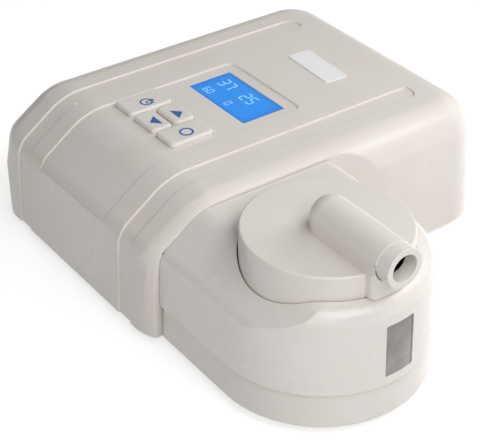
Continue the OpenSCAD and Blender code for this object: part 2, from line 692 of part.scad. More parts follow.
module blower_lower() color([0.55, 0.56, 0.58]) {
    difference() {
        union() {
            blower_half(scroll_z - 5, port_z);
            post(bx, by, cup_z, scroll_z + 1, cup_r + 2);
            post(bx, by, mount_z, mount_z + 3, 35);
        }
        post(bx, by, stator_z, scroll_z + wall + 1, cup_r);
        post(bx, by, cup_z + 2.5, stator_z + 1, cup_r - 3);
    }
    ring(bx, by, cup_z + 1, cup_z + 2.5 + bearing_h, bearing_r + 2, bearing_r + running);
}
module blower_upper() color([0.55, 0.56, 0.58]) {
    difference() {
        blower_half(port_z, eye_z);
        post(bx, by, port_z, eye_z + 1, eye_r);
    }
}
module impeller() color([0.9, 0.9, 0.92]) {
    difference() {
        union() {
            post(bx, by, fan_z, fan_z + 2, fan_r);
            post(bx, by, fan_z - 0.6, fan_z + 9, 6);
            for (k = [0:fan_blades - 1]) translate([bx, by, fan_z + 1]) rotate([0, 0, 360 * k / fan_blades])
                linear_extrude(11) blade();
        }
        post(bx, by, fan_z - 1, fan_z + 8, shaft_r + running);
    }
}
module blade() intersection() {
    translate([13, 12]) difference() {
        circle(16);
        circle(14.8);
    }
    difference() {
        circle(fan_r - 0.5);
        circle(8.5);
    }
    rotate([0, 0, atan2(12, 13)]) translate([0, -2 * fan_r]) square(2 * fan_r);
}
module motor_shaft() color([0.75, 0.75, 0.78]) {
    post(bx, by, cup_z + 2.5 + gap, fan_z + 7.9, shaft_r);
}
module motor_magnet() color([0.35, 0.35, 0.38]) {
    ring(bx, by, stator_z + 1, stator_top - 4.4, magnet_r, shaft_r + running);
}
module motor_stator() color([0.6, 0.36, 0.2]) {
    ring(bx, by, stator_z, stator_lid - 1, cup_r - running, magnet_r + 1);
    ring(bx, by, stator_lid - 2, stator_lid + 0.5, cup_r - running, cup_r - 2.5);
    ring(bx, by, stator_lid, stator_top, cup_r - running, bearing_r + running);
}
module motor_bearings() color([0.7, 0.7, 0.72]) {
    ring(bx, by, cup_z + 2.5, cup_z + 2.5 + bearing_h, bearing_r, shaft_r + running);
    ring(bx, by, stator_top - bearing_h, stator_top, bearing_r, shaft_r + running);
}
module outlet_duct() color([0.3, 0.3, 0.32]) {
    difference() {
        union() {
            pipe_x(nozzle_x - 5, seal_x0, hy, port_z, duct_r - 2 - running);
            pipe_x(nozzle_x + gap, seal_x0, hy, port_z, duct_r - 1);
        }
        pipe_x(nozzle_x - 6, seal_x0 + 1, hy, port_z, port_r - 1);
    }
}
module flow_sensor() color([0.1, 0.1, 0.12]) {
    difference() {
        block([nozzle_x + 3, hy - 7, port_z + 7], [nozzle_x + 15, hy + 7, port_z + 20]);
        pipe_x(nozzle_x, nozzle_x + 20, hy, port_z, duct_r - 1 + running);
    }
}
module port_seal() color([0.15, 0.15, 0.16]) {
    difference() {
        union() {
            pipe_x(seal_x0, dock_x - wall - 0.1, hy, port_z, seal_r + 2.5);
            pipe_x(seal_x0, hum_x0 - 0.1, hy, port_z, seal_r);
        }
        pipe_x(seal_x0 - 1, hum_x0 + 1, hy, port_z, port_r - 0.5);
    }
}
module cover_screws() color([0.7, 0.7, 0.72]) {
    for (p = feet) screw(p[0], p[1], base_z, 1, screw_r, screw_l, 3.2, 2.2);
}
module rubber_feet() color([0.08, 0.08, 0.08]) {
    for (p = feet) ring(p[0], p[1], 0, foot_h, foot_r, 3.6);
    for (p = tray_feet) post(p[0], p[1], 0, foot_h, foot_r);
}
module humidifier_tray() color([0.83, 0.82, 0.8]) {
    difference() {
        union() {
            intersection() {
                hum_form(tray_in, 10);
                block([0, front_y - 9, base_z], [mouth_x, dock_back, tray_top]);
            }
            block([tongue_x, tongue_y0, deck_z], [hum_x0 + tray_in + 1, tongue_y1, tongue_z]);
        }
        intersection() {
            hum_form(tray_in + 2.2, 10);
            block([0, front_y - 9, deck_z], [mouth_x, dock_back, tray_top - 2.3]);
        }
        post(lx, hy, deck_z + 1, tray_top + 1, heater_r + 0.4);
        for (p = tray_holes) post(p[0], p[1], deck_z - 1, tongue_z + 1, screw_r + running);
    }
}
module tray_screws() color([0.7, 0.7, 0.72]) {
    for (p = tray_holes) screw(p[0], p[1], tongue_z, -1, screw_r, tongue_z - base_z - 0.5, 3.2, 2.2);
}
module heater_insulator() color([0.9, 0.88, 0.8]) {
    ring(lx, hy, deck_z, heater_low - heater_film, heater_r - gap, heater_r - 10);
}
module heater_element() color([0.6, 0.3, 0.15]) {
    post(lx, hy, heater_low - heater_film, heater_low, heater_r - 2);
}
module heater_plate() color([0.78, 0.78, 0.8]) {
    post(lx, hy, heater_low, heater_top, heater_r);
}
module chamber_housing() color([0.87, 0.86, 0.84]) {
    difference() {
        union() {
            difference() {
                hum_form(0);
                hum_form(wall);
            }
            intersection() {
                hum_form(wall / 2);
                union() {
                    ring(lx, hy, ledge_z, top_z, well_r + wall, well_r);
                    ring(lx, hy, ledge_z, ledge_top, well_r + wall, ledge_r);
                }
            }
        }
        post(lx, hy, ledge_top, top_z, well_r);
        block([0, front_y - 9, 0], [mouth_x, dock_back, hous_z]);
        pipe_x(hum_x0 - 1, hum_x0 + wall + 1, hy, port_z, port_r + 0.1);
        along_x(hx + 40, mouth_x) plan(window_y - window_w / 2, window_y + window_w / 2,
            window_z, window_z + window_h, 1.2);
    }
}
module water_tub() color([0.8, 0.9, 0.95]) {
    difference() {
        union() {
            ring(lx, hy, tub_floor, ledge_z, tub_r, tub_r - 2);
            ring(lx, hy, tub_floor + 2, tub_floor + 3.7, tub_r, tub_r - 6.5);
        }
        pipe_x(lx - tub_r - 1, lx, hy, port_z, port_r + 0.1);
    }
}
module tub_base_plate() color([0.75, 0.75, 0.77]) {
    post(lx, hy, heater_top, tub_floor, tub_r);
}
module tub_seal() color([0.75, 0.3, 0.25]) {
    ring(lx, hy, tub_floor, tub_floor + 2, tub_r - 2.1, tub_r - 6);
}
module level_window() color([0.7, 0.72, 0.74]) {
    intersection() {
        difference() {
            hum_form(0.6);
            hum_form(wall + 1.4);
        }
        union() {
            along_x(hx + 40, mouth_x) plan(window_y - window_w / 2 + 0.2, window_y + window_w / 2 - 0.2,
                window_z + 0.2, window_z + window_h - 0.2, 1);
            intersection() {
                hum_form(wall + 0.1);
                along_x(hx + 40, mouth_x) plan(window_y - window_w / 2 - 2, window_y + window_w / 2 + 2,
                    window_z - 2, window_z + window_h + 2, 2);
            }
        }
    }
}
module chamber_inlet() color([0.85, 0.85, 0.85]) {
    difference() {
        pipe_x(hum_x0, lx - tub_r + 2, hy, port_z, port_r);
        pipe_x(hum_x0 - 1, lx, hy, port_z, port_r - 2);
    }
}
module lid_plug() color([0.8, 0.85, 0.88]) {
    difference() {
        union() {
            post(lx, hy, ledge_top, ledge_top + flange_t, lid_r - 0.4);
            post(lx, hy, ledge_top, spigot_top, spigot_r);
        }
        post(lx, hy, ledge_top - 1, spigot_top + 1, spigot_r - 3);
    }
}
module plug_skirt() color([0.8, 0.85, 0.88]) {
    difference() {
        ring(lx, hy, ledge_z - 3, ledge_top, plug_r, plug_r - 4.4);
        ring(lx, hy, seal_z - 1.1, seal_z + 1.1, plug_r + 1, plug_r - 1.95);
    }
}
module plug_seal() color([0.12, 0.12, 0.12]) {
    translate([lx, hy, seal_z]) rotate_extrude() translate([plug_r - 0.85, 0]) circle(1);
}
module outlet_lid() color([0.86, 0.85, 0.83]) {
    difference() {
        translate([lx, hy, 0]) rotate_extrude() intersection() {
            rounded([[-lid_r, lid_low, 0], [lid_r, lid_low, 0], [lid_r, lid_top, 1.2], [-lid_r, lid_top, 1.2]]);
            translate([0, lid_low]) square([lid_r, lid_top - lid_low]);
        }
        difference() {
            post(lx, hy, lid_low - 1, lid_top - wall, lid_r - wall);
            ring(lx, hy, ledge_top + flange_t + 3, lid_top, spigot_r + running + wall, spigot_r + running);
        }
        post(passage_x, hy, lid_top - wall - 1, lid_top + 1, tube_bore - 0.5);
        pipe_x(passage_x, mouth_x, hy, tube_z, tube_bore);
        translate([passage_x, hy, tube_z]) sphere(tube_bore);
    }
}
module outlet_tube() color([0.86, 0.85, 0.83]) {
    difference() {
        union() {
            post(tube_end_x, hy, lid_top, tube_z, tube_body_r);
            translate([tube_end_x, hy, tube_z]) sphere(tube_body_r);
            pipe_x(tube_end_x, skirt_x, hy, tube_z, tube_body_r);
            pipe_x(skirt_x - 1, mouth_x, hy, tube_z, tube_r);
            block([tube_end_x, hy - tube_body_r, lid_top], [skirt_x, hy + tube_body_r, tube_z]);
            block([lx + lid_r - 2, hy - tube_body_r, hum_top + 0.7],
                [skirt_x, hy + tube_body_r, lid_top + 1]);
        }
        post(lx, hy, hum_top, lid_top, lid_r + running);
        pipe_x(passage_x, mouth_x + 1, hy, tube_z, tube_bore);
        translate([passage_x, hy, tube_z]) sphere(tube_bore);
        post(passage_x, hy, lid_top - 1, tube_z, tube_bore - 0.5);
    }
}
module swivel_seal() color([0.12, 0.12, 0.12]) {
    ring(lx, hy, spigot_top + gap, lid_top - wall, spigot_r - 0.1, spigot_r - 3);
}

base_chassis();
top_cover();
name_plate();
lcd_window();
lcd_module();
display_board();
board_screws();
tact_switches();
key_menu();
key_up();
key_down();
key_power();
main_board();
board_parts();
supply_board();
supply_parts();
power_inlet();
inlet_pins();
power_rocker();
alarm_speaker();
oxygen_inlet();
oxygen_valve();
valve_coil();
valve_plunger();
oxygen_tube();
mixing_box();
inlet_hood();
filter_cover();
filter_foam();
oxygen_sensor();
blower_mounts();
blower_lower();
blower_upper();
impeller();
motor_shaft();
motor_magnet();
motor_stator();
motor_bearings();
outlet_duct();
flow_sensor();
port_seal();
cover_screws();
rubber_feet();
humidifier_tray();
tray_screws();
heater_insulator();
heater_element();
heater_plate();
chamber_housing();
water_tub();
tub_base_plate();
tub_seal();
level_window();
chamber_inlet();
lid_plug();
plug_skirt();
plug_seal();
outlet_lid();
outlet_tube();
swivel_seal();
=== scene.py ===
# %% [markdown]
# A desk unit that blends air with oxygen, warms it and moistens it. The solid frame brings every piece at
# its real size and place in metres; this file gives each surface that shows its final shape and finish.
# %% Load the frame
import bpy
import bmesh
import json
import math
from mathutils import Vector, Matrix


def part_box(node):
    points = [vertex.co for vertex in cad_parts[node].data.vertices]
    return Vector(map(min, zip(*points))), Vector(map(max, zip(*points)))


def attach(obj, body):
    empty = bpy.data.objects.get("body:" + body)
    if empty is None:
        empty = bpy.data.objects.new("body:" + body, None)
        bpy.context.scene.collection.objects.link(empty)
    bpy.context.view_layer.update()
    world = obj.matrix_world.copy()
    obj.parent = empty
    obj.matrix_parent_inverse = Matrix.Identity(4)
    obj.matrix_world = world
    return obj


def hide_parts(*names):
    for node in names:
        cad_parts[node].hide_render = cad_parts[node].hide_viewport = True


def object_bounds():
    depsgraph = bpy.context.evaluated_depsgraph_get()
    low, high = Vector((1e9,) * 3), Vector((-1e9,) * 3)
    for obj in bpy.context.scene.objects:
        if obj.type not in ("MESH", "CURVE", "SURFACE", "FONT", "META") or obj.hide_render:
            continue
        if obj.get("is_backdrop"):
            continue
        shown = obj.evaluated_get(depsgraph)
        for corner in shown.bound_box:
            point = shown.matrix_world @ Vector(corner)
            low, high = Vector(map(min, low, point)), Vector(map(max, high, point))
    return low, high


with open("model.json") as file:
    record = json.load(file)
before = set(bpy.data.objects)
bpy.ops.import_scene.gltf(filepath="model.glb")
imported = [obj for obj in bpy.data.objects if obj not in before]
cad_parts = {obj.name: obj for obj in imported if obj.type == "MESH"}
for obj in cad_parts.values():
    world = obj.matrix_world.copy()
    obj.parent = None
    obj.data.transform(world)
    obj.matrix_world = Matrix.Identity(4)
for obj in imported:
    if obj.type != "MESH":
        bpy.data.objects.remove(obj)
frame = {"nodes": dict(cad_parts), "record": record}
cad_low, cad_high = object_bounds()
nodes = frame["nodes"]
print("pieces in the frame:", len(nodes))

# %% [markdown]
# The camera comes first, because every finish is judged through it. It stands to the right of the sloped
# front and looks down at about a third of a right angle, with a long lens, so the upright edges stay
# nearly parallel.
# %% Camera
turn, height = math.radians(53.98), math.radians(34.36)
back = Vector((math.sin(turn) * math.cos(height), -math.cos(turn) * math.cos(height), math.sin(height)))
camera = bpy.data.objects.new("camera", bpy.data.cameras.new("camera"))
bpy.context.scene.collection.objects.link(camera)
camera.location = (0.5421, -0.4438, 0.4954)
camera.rotation_mode = "QUATERNION"
camera.rotation_quaternion = back.to_track_quat("Z", "Y")
FOCAL, PHOTO_WIDE, SENSOR = 1413, 480, 36  # two lengths in pixels of the picture, then one in mm
camera.data.lens = FOCAL / PHOTO_WIDE * SENSOR
camera.data.sensor_width = SENSOR
camera.data.clip_start, camera.data.clip_end = 0.05, 20
bpy.context.scene.camera = camera
print("lens in mm:", round(camera.data.lens, 1))

# %% [markdown]
# Modelling by hand has a rhythm: add a primitive, select a few edges or faces, and apply one operator.
# These helpers do the selecting by place or by direction, so each later cell reads as the list of moves
# that a person would make. Sizes are written in millimetres.
# %% Helpers for selecting and shaping
MM = 0.001
SMOOTH = 28  # faces that meet at fewer degrees than this are shaded as one curve


def only(obj):
    if bpy.context.object and bpy.context.object.mode != "OBJECT":
        bpy.ops.object.mode_set(mode="OBJECT")
    bpy.ops.object.select_all(action="DESELECT")
    obj.select_set(True)
    bpy.context.view_layer.objects.active = obj


def settle(obj, name):
    only(obj)
    bpy.ops.object.transform_apply(location=True, rotation=True, scale=True)
    obj.name = name
    obj.data.name = name
    return obj


def box(name, low, high):
    centre = [(a + b) / 2 * MM for a, b in zip(low, high)]
    bpy.ops.mesh.primitive_cube_add(size=1, location=centre)
    obj = bpy.context.object
    obj.scale = [(b - a) * MM for a, b in zip(low, high)]
    return settle(obj, name)


def rod(name, start, end, radius, sides=96, radius_end=None):
    a, b = Vector(start) * MM, Vector(end) * MM
    if radius_end is None:
        bpy.ops.mesh.primitive_cylinder_add(vertices=sides, radius=radius * MM, depth=(b - a).length)
    else:
        bpy.ops.mesh.primitive_cone_add(vertices=sides, radius1=radius * MM, radius2=radius_end * MM,
                                        depth=(b - a).length)
    obj = bpy.context.object
    obj.rotation_mode = "QUATERNION"
    obj.rotation_quaternion = (b - a).to_track_quat("Z", "Y")
    obj.location = (a + b) / 2
    return settle(obj, name)


def pick(obj, kind, test):
    """Selects vertices, edges or faces of obj for which test(centre in mm, element) is true."""
    only(obj)
    bpy.ops.object.mode_set(mode="EDIT")
    bpy.ops.mesh.select_mode(type=kind)
    bpy.ops.mesh.select_all(action="DESELECT")
    mesh = bmesh.from_edit_mesh(obj.data)
    layer = {"VERT": mesh.verts, "EDGE": mesh.edges, "FACE": mesh.faces}[kind]
    count = 0
    for item in layer:
        centre = item.co if kind == "VERT" else sum((v.co for v in item.verts), Vector()) / len(item.verts)
        if test(centre / MM, item):
            item.select_set(True)
            count += 1
    mesh.select_flush_mode()
    bmesh.update_edit_mesh(obj.data)
    return count


def along(edge, axis):
    """True if an edge runs along x, y or z (0, 1 or 2)."""
    d = (edge.verts[1].co - edge.verts[0].co).normalized()
    return abs(d[axis]) > 0.999


def bevel(obj, test, width, segments):
    count = pick(obj, "EDGE", test)
    if count:
        bpy.ops.mesh.bevel(offset=width * MM, segments=segments, profile=0.5, clamp_overlap=False)
    bpy.ops.object.mode_set(mode="OBJECT")
    return count


def soften(obj, test, width, segments, least=45):
    """Rounds the outward edges that are sharper than least degrees and pass the test."""
    return bevel(obj, lambda c, e: len(e.link_faces) == 2 and test(c) and
                 e.calc_face_angle_signed(0) > math.radians(least), width, segments)


def shift(obj, test, move):
    """Moves the vertices that pass the test by so many mm."""
    pick(obj, "VERT", test)
    bpy.ops.transform.translate(value=[part * MM for part in move])
    bpy.ops.object.mode_set(mode="OBJECT")


def slice_at(obj, place, normal, **options):
    """Cuts all faces along a plane through place. The options say which side goes."""
    pick(obj, "FACE", lambda c, f: True)
    bpy.ops.mesh.bisect(plane_co=Vector(place) * MM, plane_no=normal, **options)
    bpy.ops.object.mode_set(mode="OBJECT")


def join_shape(obj, tool, operation):
    """Combines a shape with a second one, which is used up."""
    only(obj)
    change = obj.modifiers.new("shape", "BOOLEAN")
    change.operation = operation
    change.solver = "MANIFOLD"
    change.object = tool
    bpy.ops.object.modifier_apply(modifier=change.name)
    bpy.data.objects.remove(tool)
    return obj


def cut(obj, tool):
    return join_shape(obj, tool, "DIFFERENCE")


def add(obj, tool):
    return join_shape(obj, tool, "UNION")


def overlap(obj, tool):
    return join_shape(obj, tool, "INTERSECT")


def clean(obj, close=0.01):
    only(obj)
    bpy.ops.object.mode_set(mode="EDIT")
    bpy.ops.mesh.select_all(action="SELECT")
    bpy.ops.mesh.remove_doubles(threshold=close * MM)
    bpy.ops.mesh.dissolve_degenerate(threshold=close * MM)
    bpy.ops.mesh.normals_make_consistent(inside=False)
    bpy.ops.object.mode_set(mode="OBJECT")
    return obj


def finish(obj):
    """Shades smooth, with flat faces kept flat."""
    only(obj)
    bpy.ops.object.shade_smooth_by_angle(angle=math.radians(SMOOTH))
    even = obj.modifiers.new("even", "WEIGHTED_NORMAL")
    even.keep_sharp = True
    even.weight = 100
    bpy.ops.object.modifier_apply(modifier=even.name)


def tangent(radius, turn_deg):
    """How far a bevel reaches from an edge that turns by turn_deg, for an arc of this radius."""
    return radius * math.tan(math.radians(turn_deg) / 2)


print("helpers ready")

# %% [markdown]
# A finish is a small recipe of nodes. Moulded plastic is never quite even: the tool leaves a fine grain, and
# handling polishes it in patches. One shared node group gives both effects, and each material feeds it its
# own colours and sizes. All patterns are fixed to the object.
# %% Node helpers
def screen(red, green, blue):
    """A colour as picked on screen, from 0 to 255, in the linear values that nodes use."""
    values = [c / 255 for c in (red, green, blue)]
    return (*[c / 12.92 if c <= 0.04045 else ((c + 0.055) / 1.055) ** 2.4 for c in values], 1)


def node(tree, kind, settings=None, **inputs):
    """Adds a shader node. Values set its sockets; sockets given as values are linked."""
    made = tree.nodes.new("ShaderNode" + kind)
    for key, value in (settings or {}).items():
        setattr(made, key, value)
    for key, value in inputs.items():
        socket = made.inputs[int(key[1:]) if key[0] == "i" and key[1:].isdigit() else key.replace("_", " ")]
        if isinstance(value, bpy.types.NodeSocket):
            tree.links.new(value, socket)
        else:
            socket.default_value = value
    return made


def math_node(tree, operation, *values):
    sockets = {"i%d" % i: v for i, v in enumerate(values)}
    return node(tree, "Math", {"operation": operation}, **sockets).outputs[0]


def times(tree, *values):
    return math_node(tree, "MULTIPLY", *values)


def plus(tree, *values):
    return math_node(tree, "ADD", *values)


def noise(tree, vector, scale, detail, **more):
    return node(tree, "TexNoise", Vector=vector, Scale=scale, Detail=detail, **more).outputs[0]


def blend_colour(tree, factor, first, second):
    made = node(tree, "Mix", {"data_type": "RGBA", "blend_type": "MIX"}, i0=factor, i6=first, i7=second)
    return made.outputs[2]


def spread(tree, value, low, high, out_low=0.0, out_high=1.0):
    made = node(tree, "MapRange", Value=value, From_Min=low, From_Max=high, To_Min=out_low,
                To_Max=out_high)
    return made.outputs[0]


NUMBERS = ("Tone", "Roughness", "Grain", "Depth")
SURFACE = {"Colour": "Color", "Roughness": "Float", "Height": "Float"}


def effect(name):
    """An empty node group: a vector, two colours and four numbers go in, and a surface comes out."""
    group = bpy.data.node_groups.new(name, "ShaderNodeTree")
    group.interface.new_socket("Vector", in_out="INPUT", socket_type="NodeSocketVector")
    for colour in ("Colour", "Second Colour"):
        group.interface.new_socket(colour, in_out="INPUT", socket_type="NodeSocketColor")
    for number in NUMBERS:
        group.interface.new_socket(number, in_out="INPUT", socket_type="NodeSocketFloat")
    for output, kind in SURFACE.items():
        group.interface.new_socket(output, in_out="OUTPUT", socket_type="NodeSocket" + kind)
    return group, group.nodes.new("NodeGroupInput").outputs, group.nodes.new("NodeGroupOutput").inputs


print("node helpers ready")

# %% Moulded plastic
moulded, into, out = effect("moulded_grain")
patches = noise(moulded, into["Vector"], 28.0, 3.0)
grain = noise(moulded, into["Vector"], into["Grain"], 2.0)
specks = node(moulded, "TexVoronoi", Vector=into["Vector"], Scale=into["Grain"]).outputs[0]
handled = spread(moulded, patches, 0.38, 0.66)
tone = times(moulded, handled, into["Tone"])
colour = blend_colour(moulded, tone, into["Colour"], into["Second Colour"])
moulded.links.new(colour, out["Colour"])
shine = times(moulded, math_node(moulded, "SUBTRACT", handled, 0.5), 0.10)
shine = plus(moulded, plus(moulded, into["Roughness"], shine), times(moulded, grain, 0.05))
moulded.links.new(shine, out["Roughness"])
relief = plus(moulded, times(moulded, grain, 0.6), times(moulded, specks, 0.4))
moulded.links.new(times(moulded, relief, into["Depth"]), out["Height"])

# %% [markdown]
# Metal is told from plastic by the direction of its marks. Stretching the noise along one axis gives the
# lines of a brush or a lathe tool. Rubber is told by the pale dust that it holds, and by its dull, uneven
# sheen.
# %% Metal, rubber, boards and fibres
worked, into, out = effect("worked_metal")
lines = noise(worked, into["Vector"], into["Grain"], 4.0, Roughness=0.7)
stain = noise(worked, into["Vector"], 35.0, 3.0)
marks = times(worked, spread(worked, lines, 0.35, 0.65), into["Tone"])
worked.links.new(blend_colour(worked, marks, into["Colour"], into["Second Colour"]), out["Colour"])
dull = plus(worked, into["Roughness"], times(worked, spread(worked, stain, 0.4, 0.7), 0.15))
worked.links.new(plus(worked, dull, times(worked, lines, 0.08)), out["Roughness"])
worked.links.new(times(worked, lines, into["Depth"]), out["Height"])

dusty, into, out = effect("dusty_rubber")
film = noise(dusty, into["Vector"], 60.0, 6.0, Roughness=0.65)
pores = noise(dusty, into["Vector"], into["Grain"], 2.0)
dust = times(dusty, spread(dusty, film, 0.45, 0.7), into["Tone"])
dusty.links.new(blend_colour(dusty, dust, into["Colour"], into["Second Colour"]), out["Colour"])
dusty.links.new(plus(dusty, into["Roughness"], times(dusty, dust, 0.3)), out["Roughness"])
dusty.links.new(times(dusty, pores, into["Depth"]), out["Height"])

traced, into, out = effect("traced_board")
cells = node(traced, "TexVoronoi", {"distance": "CHEBYCHEV", "feature": "F1"}, Vector=into["Vector"],
             Scale=into["Grain"], Randomness=0.8).outputs[0]
routes = math_node(traced, "PINGPONG", times(traced, cells, 9.0), 1.0)
copper = math_node(traced, "GREATER_THAN", routes, 0.72)
plated = times(traced, copper, into["Tone"])
traced.links.new(blend_colour(traced, plated, into["Colour"], into["Second Colour"]), out["Colour"])
weave = noise(traced, into["Vector"], 1800.0, 1.0)
traced.links.new(plus(traced, into["Roughness"], times(traced, weave, 0.1)), out["Roughness"])
traced.links.new(times(traced, copper, into["Depth"]), out["Height"])

open_cells, into, out = effect("open_cells")
web = node(open_cells, "TexVoronoi", {"feature": "DISTANCE_TO_EDGE"}, Vector=into["Vector"],
           Scale=into["Grain"]).outputs[0]
strand = spread(open_cells, web, 0.0, 0.22)
lit = times(open_cells, strand, into["Tone"])
open_cells.links.new(blend_colour(open_cells, lit, into["Colour"], into["Second Colour"]), out["Colour"])
open_cells.links.new(plus(open_cells, into["Roughness"], times(open_cells, strand, 0.1)), out["Roughness"])
solid_part = math_node(open_cells, "SUBTRACT", 1.0, strand)
open_cells.links.new(times(open_cells, solid_part, into["Depth"]), out["Height"])
print("effects:", [g.name for g in bpy.data.node_groups])

# %% [markdown]
# Every slot of the record gets one material. The table below holds, for each, the effect, two colours as seen
# on screen, how strongly they mix, roughness, grain size and grain depth in millimetres, and the plain
# settings of the shader. Keeping them in one table makes the finishes easy to compare.
# %% Finishes by slot
WHITE, WARM = (233, 227, 221), (227, 219, 211)
FINISHES = {
    "case_plastic": (moulded, WHITE, WARM, 0.5, 0.30, 0.35, 0.004,
                     {"Coat Weight": 0.25, "Coat Roughness": 0.12}),
    "chamber_plastic": (moulded, (235, 230, 225), (230, 223, 216), 0.5, 0.26, 0.35, 0.003,
                        {"Coat Weight": 0.3, "Coat Roughness": 0.1}),
    "lid_plastic": (moulded, (234, 229, 223), (228, 221, 214), 0.5, 0.28, 0.35, 0.003,
                    {"Coat Weight": 0.3, "Coat Roughness": 0.1}),
    "tray_plastic": (moulded, (233, 227, 222), (225, 218, 211), 0.5, 0.30, 0.35, 0.004,
                     {"Coat Weight": 0.25, "Coat Roughness": 0.12}),
    "chassis_plastic": (moulded, (205, 203, 198), (190, 187, 181), 0.6, 0.5, 0.6, 0.012, {}),
    "key_plastic": (moulded, (233, 228, 222), (225, 219, 211), 0.6, 0.34, 0.3, 0.004, {"Coat Weight": 0.15}),
    "grille_plastic": (moulded, (226, 222, 213), (214, 209, 198), 0.6, 0.36, 0.4, 0.006, {}),
    "plate_film": (moulded, (252, 252, 252), (245, 245, 245), 0.5, 0.3, 0.2, 0.001, {"Coat Weight": 0.3}),
    "black_plastic": (moulded, (38, 38, 40), (58, 58, 60), 0.5, 0.42, 0.5, 0.01, {}),
    "duct_plastic": (moulded, (92, 94, 98), (78, 80, 84), 0.6, 0.45, 0.5, 0.008, {}),
    "box_plastic": (moulded, (206, 206, 204), (192, 192, 189), 0.6, 0.45, 0.5, 0.008, {}),
    "fan_plastic": (moulded, (232, 232, 234), (214, 214, 217), 0.5, 0.35, 0.3, 0.004, {}),
    "board_parts": (moulded, (44, 44, 47), (70, 70, 72), 0.7, 0.4, 0.4, 0.006, {}),
    "supply_parts": (moulded, (52, 58, 78), (82, 84, 92), 0.7, 0.4, 0.5, 0.006, {}),
    "coil": (moulded, (62, 62, 66), (46, 46, 49), 0.7, 0.5, 0.4, 0.01, {}),
    "heater_film": (moulded, (176, 104, 42), (150, 84, 32), 0.7, 0.25, 0.8, 0.004, {"Coat Weight": 0.4}),
    "clear_plastic": (moulded, (222, 230, 234), (206, 216, 222), 0.5, 0.12, 0.4, 0.001,
                      {"Transmission Weight": 0.55, "IOR": 1.49}),
    "board": (traced, (22, 92, 62), (66, 140, 92), 0.8, 0.35, 6.0, 0.03, {"Coat Weight": 0.3}),
    "supply_board": (traced, (150, 118, 66), (186, 132, 70), 0.8, 0.4, 9.0, 0.03, {"Coat Weight": 0.2}),
    "foam": (open_cells, (20, 20, 22), (62, 62, 66), 1.0, 0.85, 1.6, 0.5, {}),
    "insulation": (open_cells, (232, 226, 206), (206, 198, 174), 0.9, 0.85, 1.2, 0.3, {"Sheen Weight": 0.3}),
    "rubber": (dusty, (28, 28, 29), (92, 90, 86), 0.35, 0.7, 0.35, 0.02, {"Sheen Weight": 0.15}),
    "silicone_tube": (dusty, (206, 208, 210), (228, 228, 226), 0.5, 0.35, 0.5, 0.006,
                      {"Transmission Weight": 0.3}),
    "red_seal": (dusty, (182, 72, 58), (206, 128, 112), 0.4, 0.5, 0.4, 0.01, {}),
    "screw_steel": (worked, (196, 197, 200), (150, 151, 155), 0.6, 0.28, 0.5, 0.01, {"Metallic": 1.0}),
    "display_metal": (worked, (182, 184, 188), (146, 148, 152), 0.6, 0.35, 0.7, 0.01, {"Metallic": 1.0}),
    "brass": (worked, (206, 176, 106), (160, 130, 70), 0.6, 0.3, 0.6, 0.01, {"Metallic": 1.0}),
    "nozzle_metal": (worked, (190, 191, 196), (140, 141, 146), 0.6, 0.22, 0.4, 0.01, {"Metallic": 1.0}),
    "steel": (worked, (186, 187, 192), (138, 139, 144), 0.6, 0.25, 0.5, 0.01, {"Metallic": 1.0}),
    "winding": (worked, (176, 104, 58), (104, 54, 26), 0.9, 0.35, 0.9, 0.12, {"Metallic": 1.0}),
    "heater_metal": (worked, (198, 199, 203), (150, 151, 156), 0.6, 0.32, 0.6, 0.015, {"Metallic": 1.0}),
}
# How much finer the marks are along x, y and z, which draws them out into lines.
LONG_MARKS = {"screw_steel": (1, 1, 12), "display_metal": (14, 1, 1), "nozzle_metal": (1, 14, 1),
              "brass": (1, 9, 1), "steel": (1, 1, 9), "winding": (0.4, 0.4, 8), "heater_metal": (16, 1, 16)}
MATERIALS = {}


def material(name, effect_group, first, second, tone, rough, grain, depth, shader):
    made = bpy.data.materials.new(name)
    made.use_nodes = True
    tree = made.node_tree
    surface = tree.nodes["Principled BSDF"]
    where = node(tree, "TexCoord").outputs["Object"]
    if name in LONG_MARKS:
        where = node(tree, "Mapping", Vector=where, Scale=LONG_MARKS[name]).outputs[0]
    group = node(tree, "Group", {"node_tree": effect_group}, Vector=where, Colour=screen(*first),
                 Second_Colour=screen(*second), Tone=tone, Roughness=rough, Grain=1000 / grain, Depth=1.0)
    tree.links.new(group.outputs["Colour"], surface.inputs["Base Color"])
    tree.links.new(group.outputs["Roughness"], surface.inputs["Roughness"])
    bump = node(tree, "Bump", Height=group.outputs["Height"], Distance=depth * MM, Strength=1.0)
    tree.links.new(bump.outputs[0], surface.inputs["Normal"])
    for key, value in shader.items():
        surface.inputs[key].default_value = value
    return made


for slot_name, recipe in FINISHES.items():
    MATERIALS[slot_name] = material(slot_name, *recipe)
print("finishes made:", len(MATERIALS))

# %% [markdown]
# The display is a blue backlit panel behind clear plastic. Its colour comes from light that it gives off,
# darker towards the edges as painted shade from the rim of its recess, and broken up by the fine grid between
# its dots.
# The water window is a smoky grey pane with random patches of mist in it, and painted shade that darkens it
# upwards.
# %% Display and water window
SCREEN_LOW, SCREEN_SIZE = (-84.6, -26.5), (56, 30)
DOT, DOT_GAP = 0.45, 0.14  # the pitch in mm, and the gap as a share of it
PANE_SHADE_LOW, PANE_SHADE_HIGH = 0.040, 0.062  # in metres: the pane's painted shade deepens between these heights
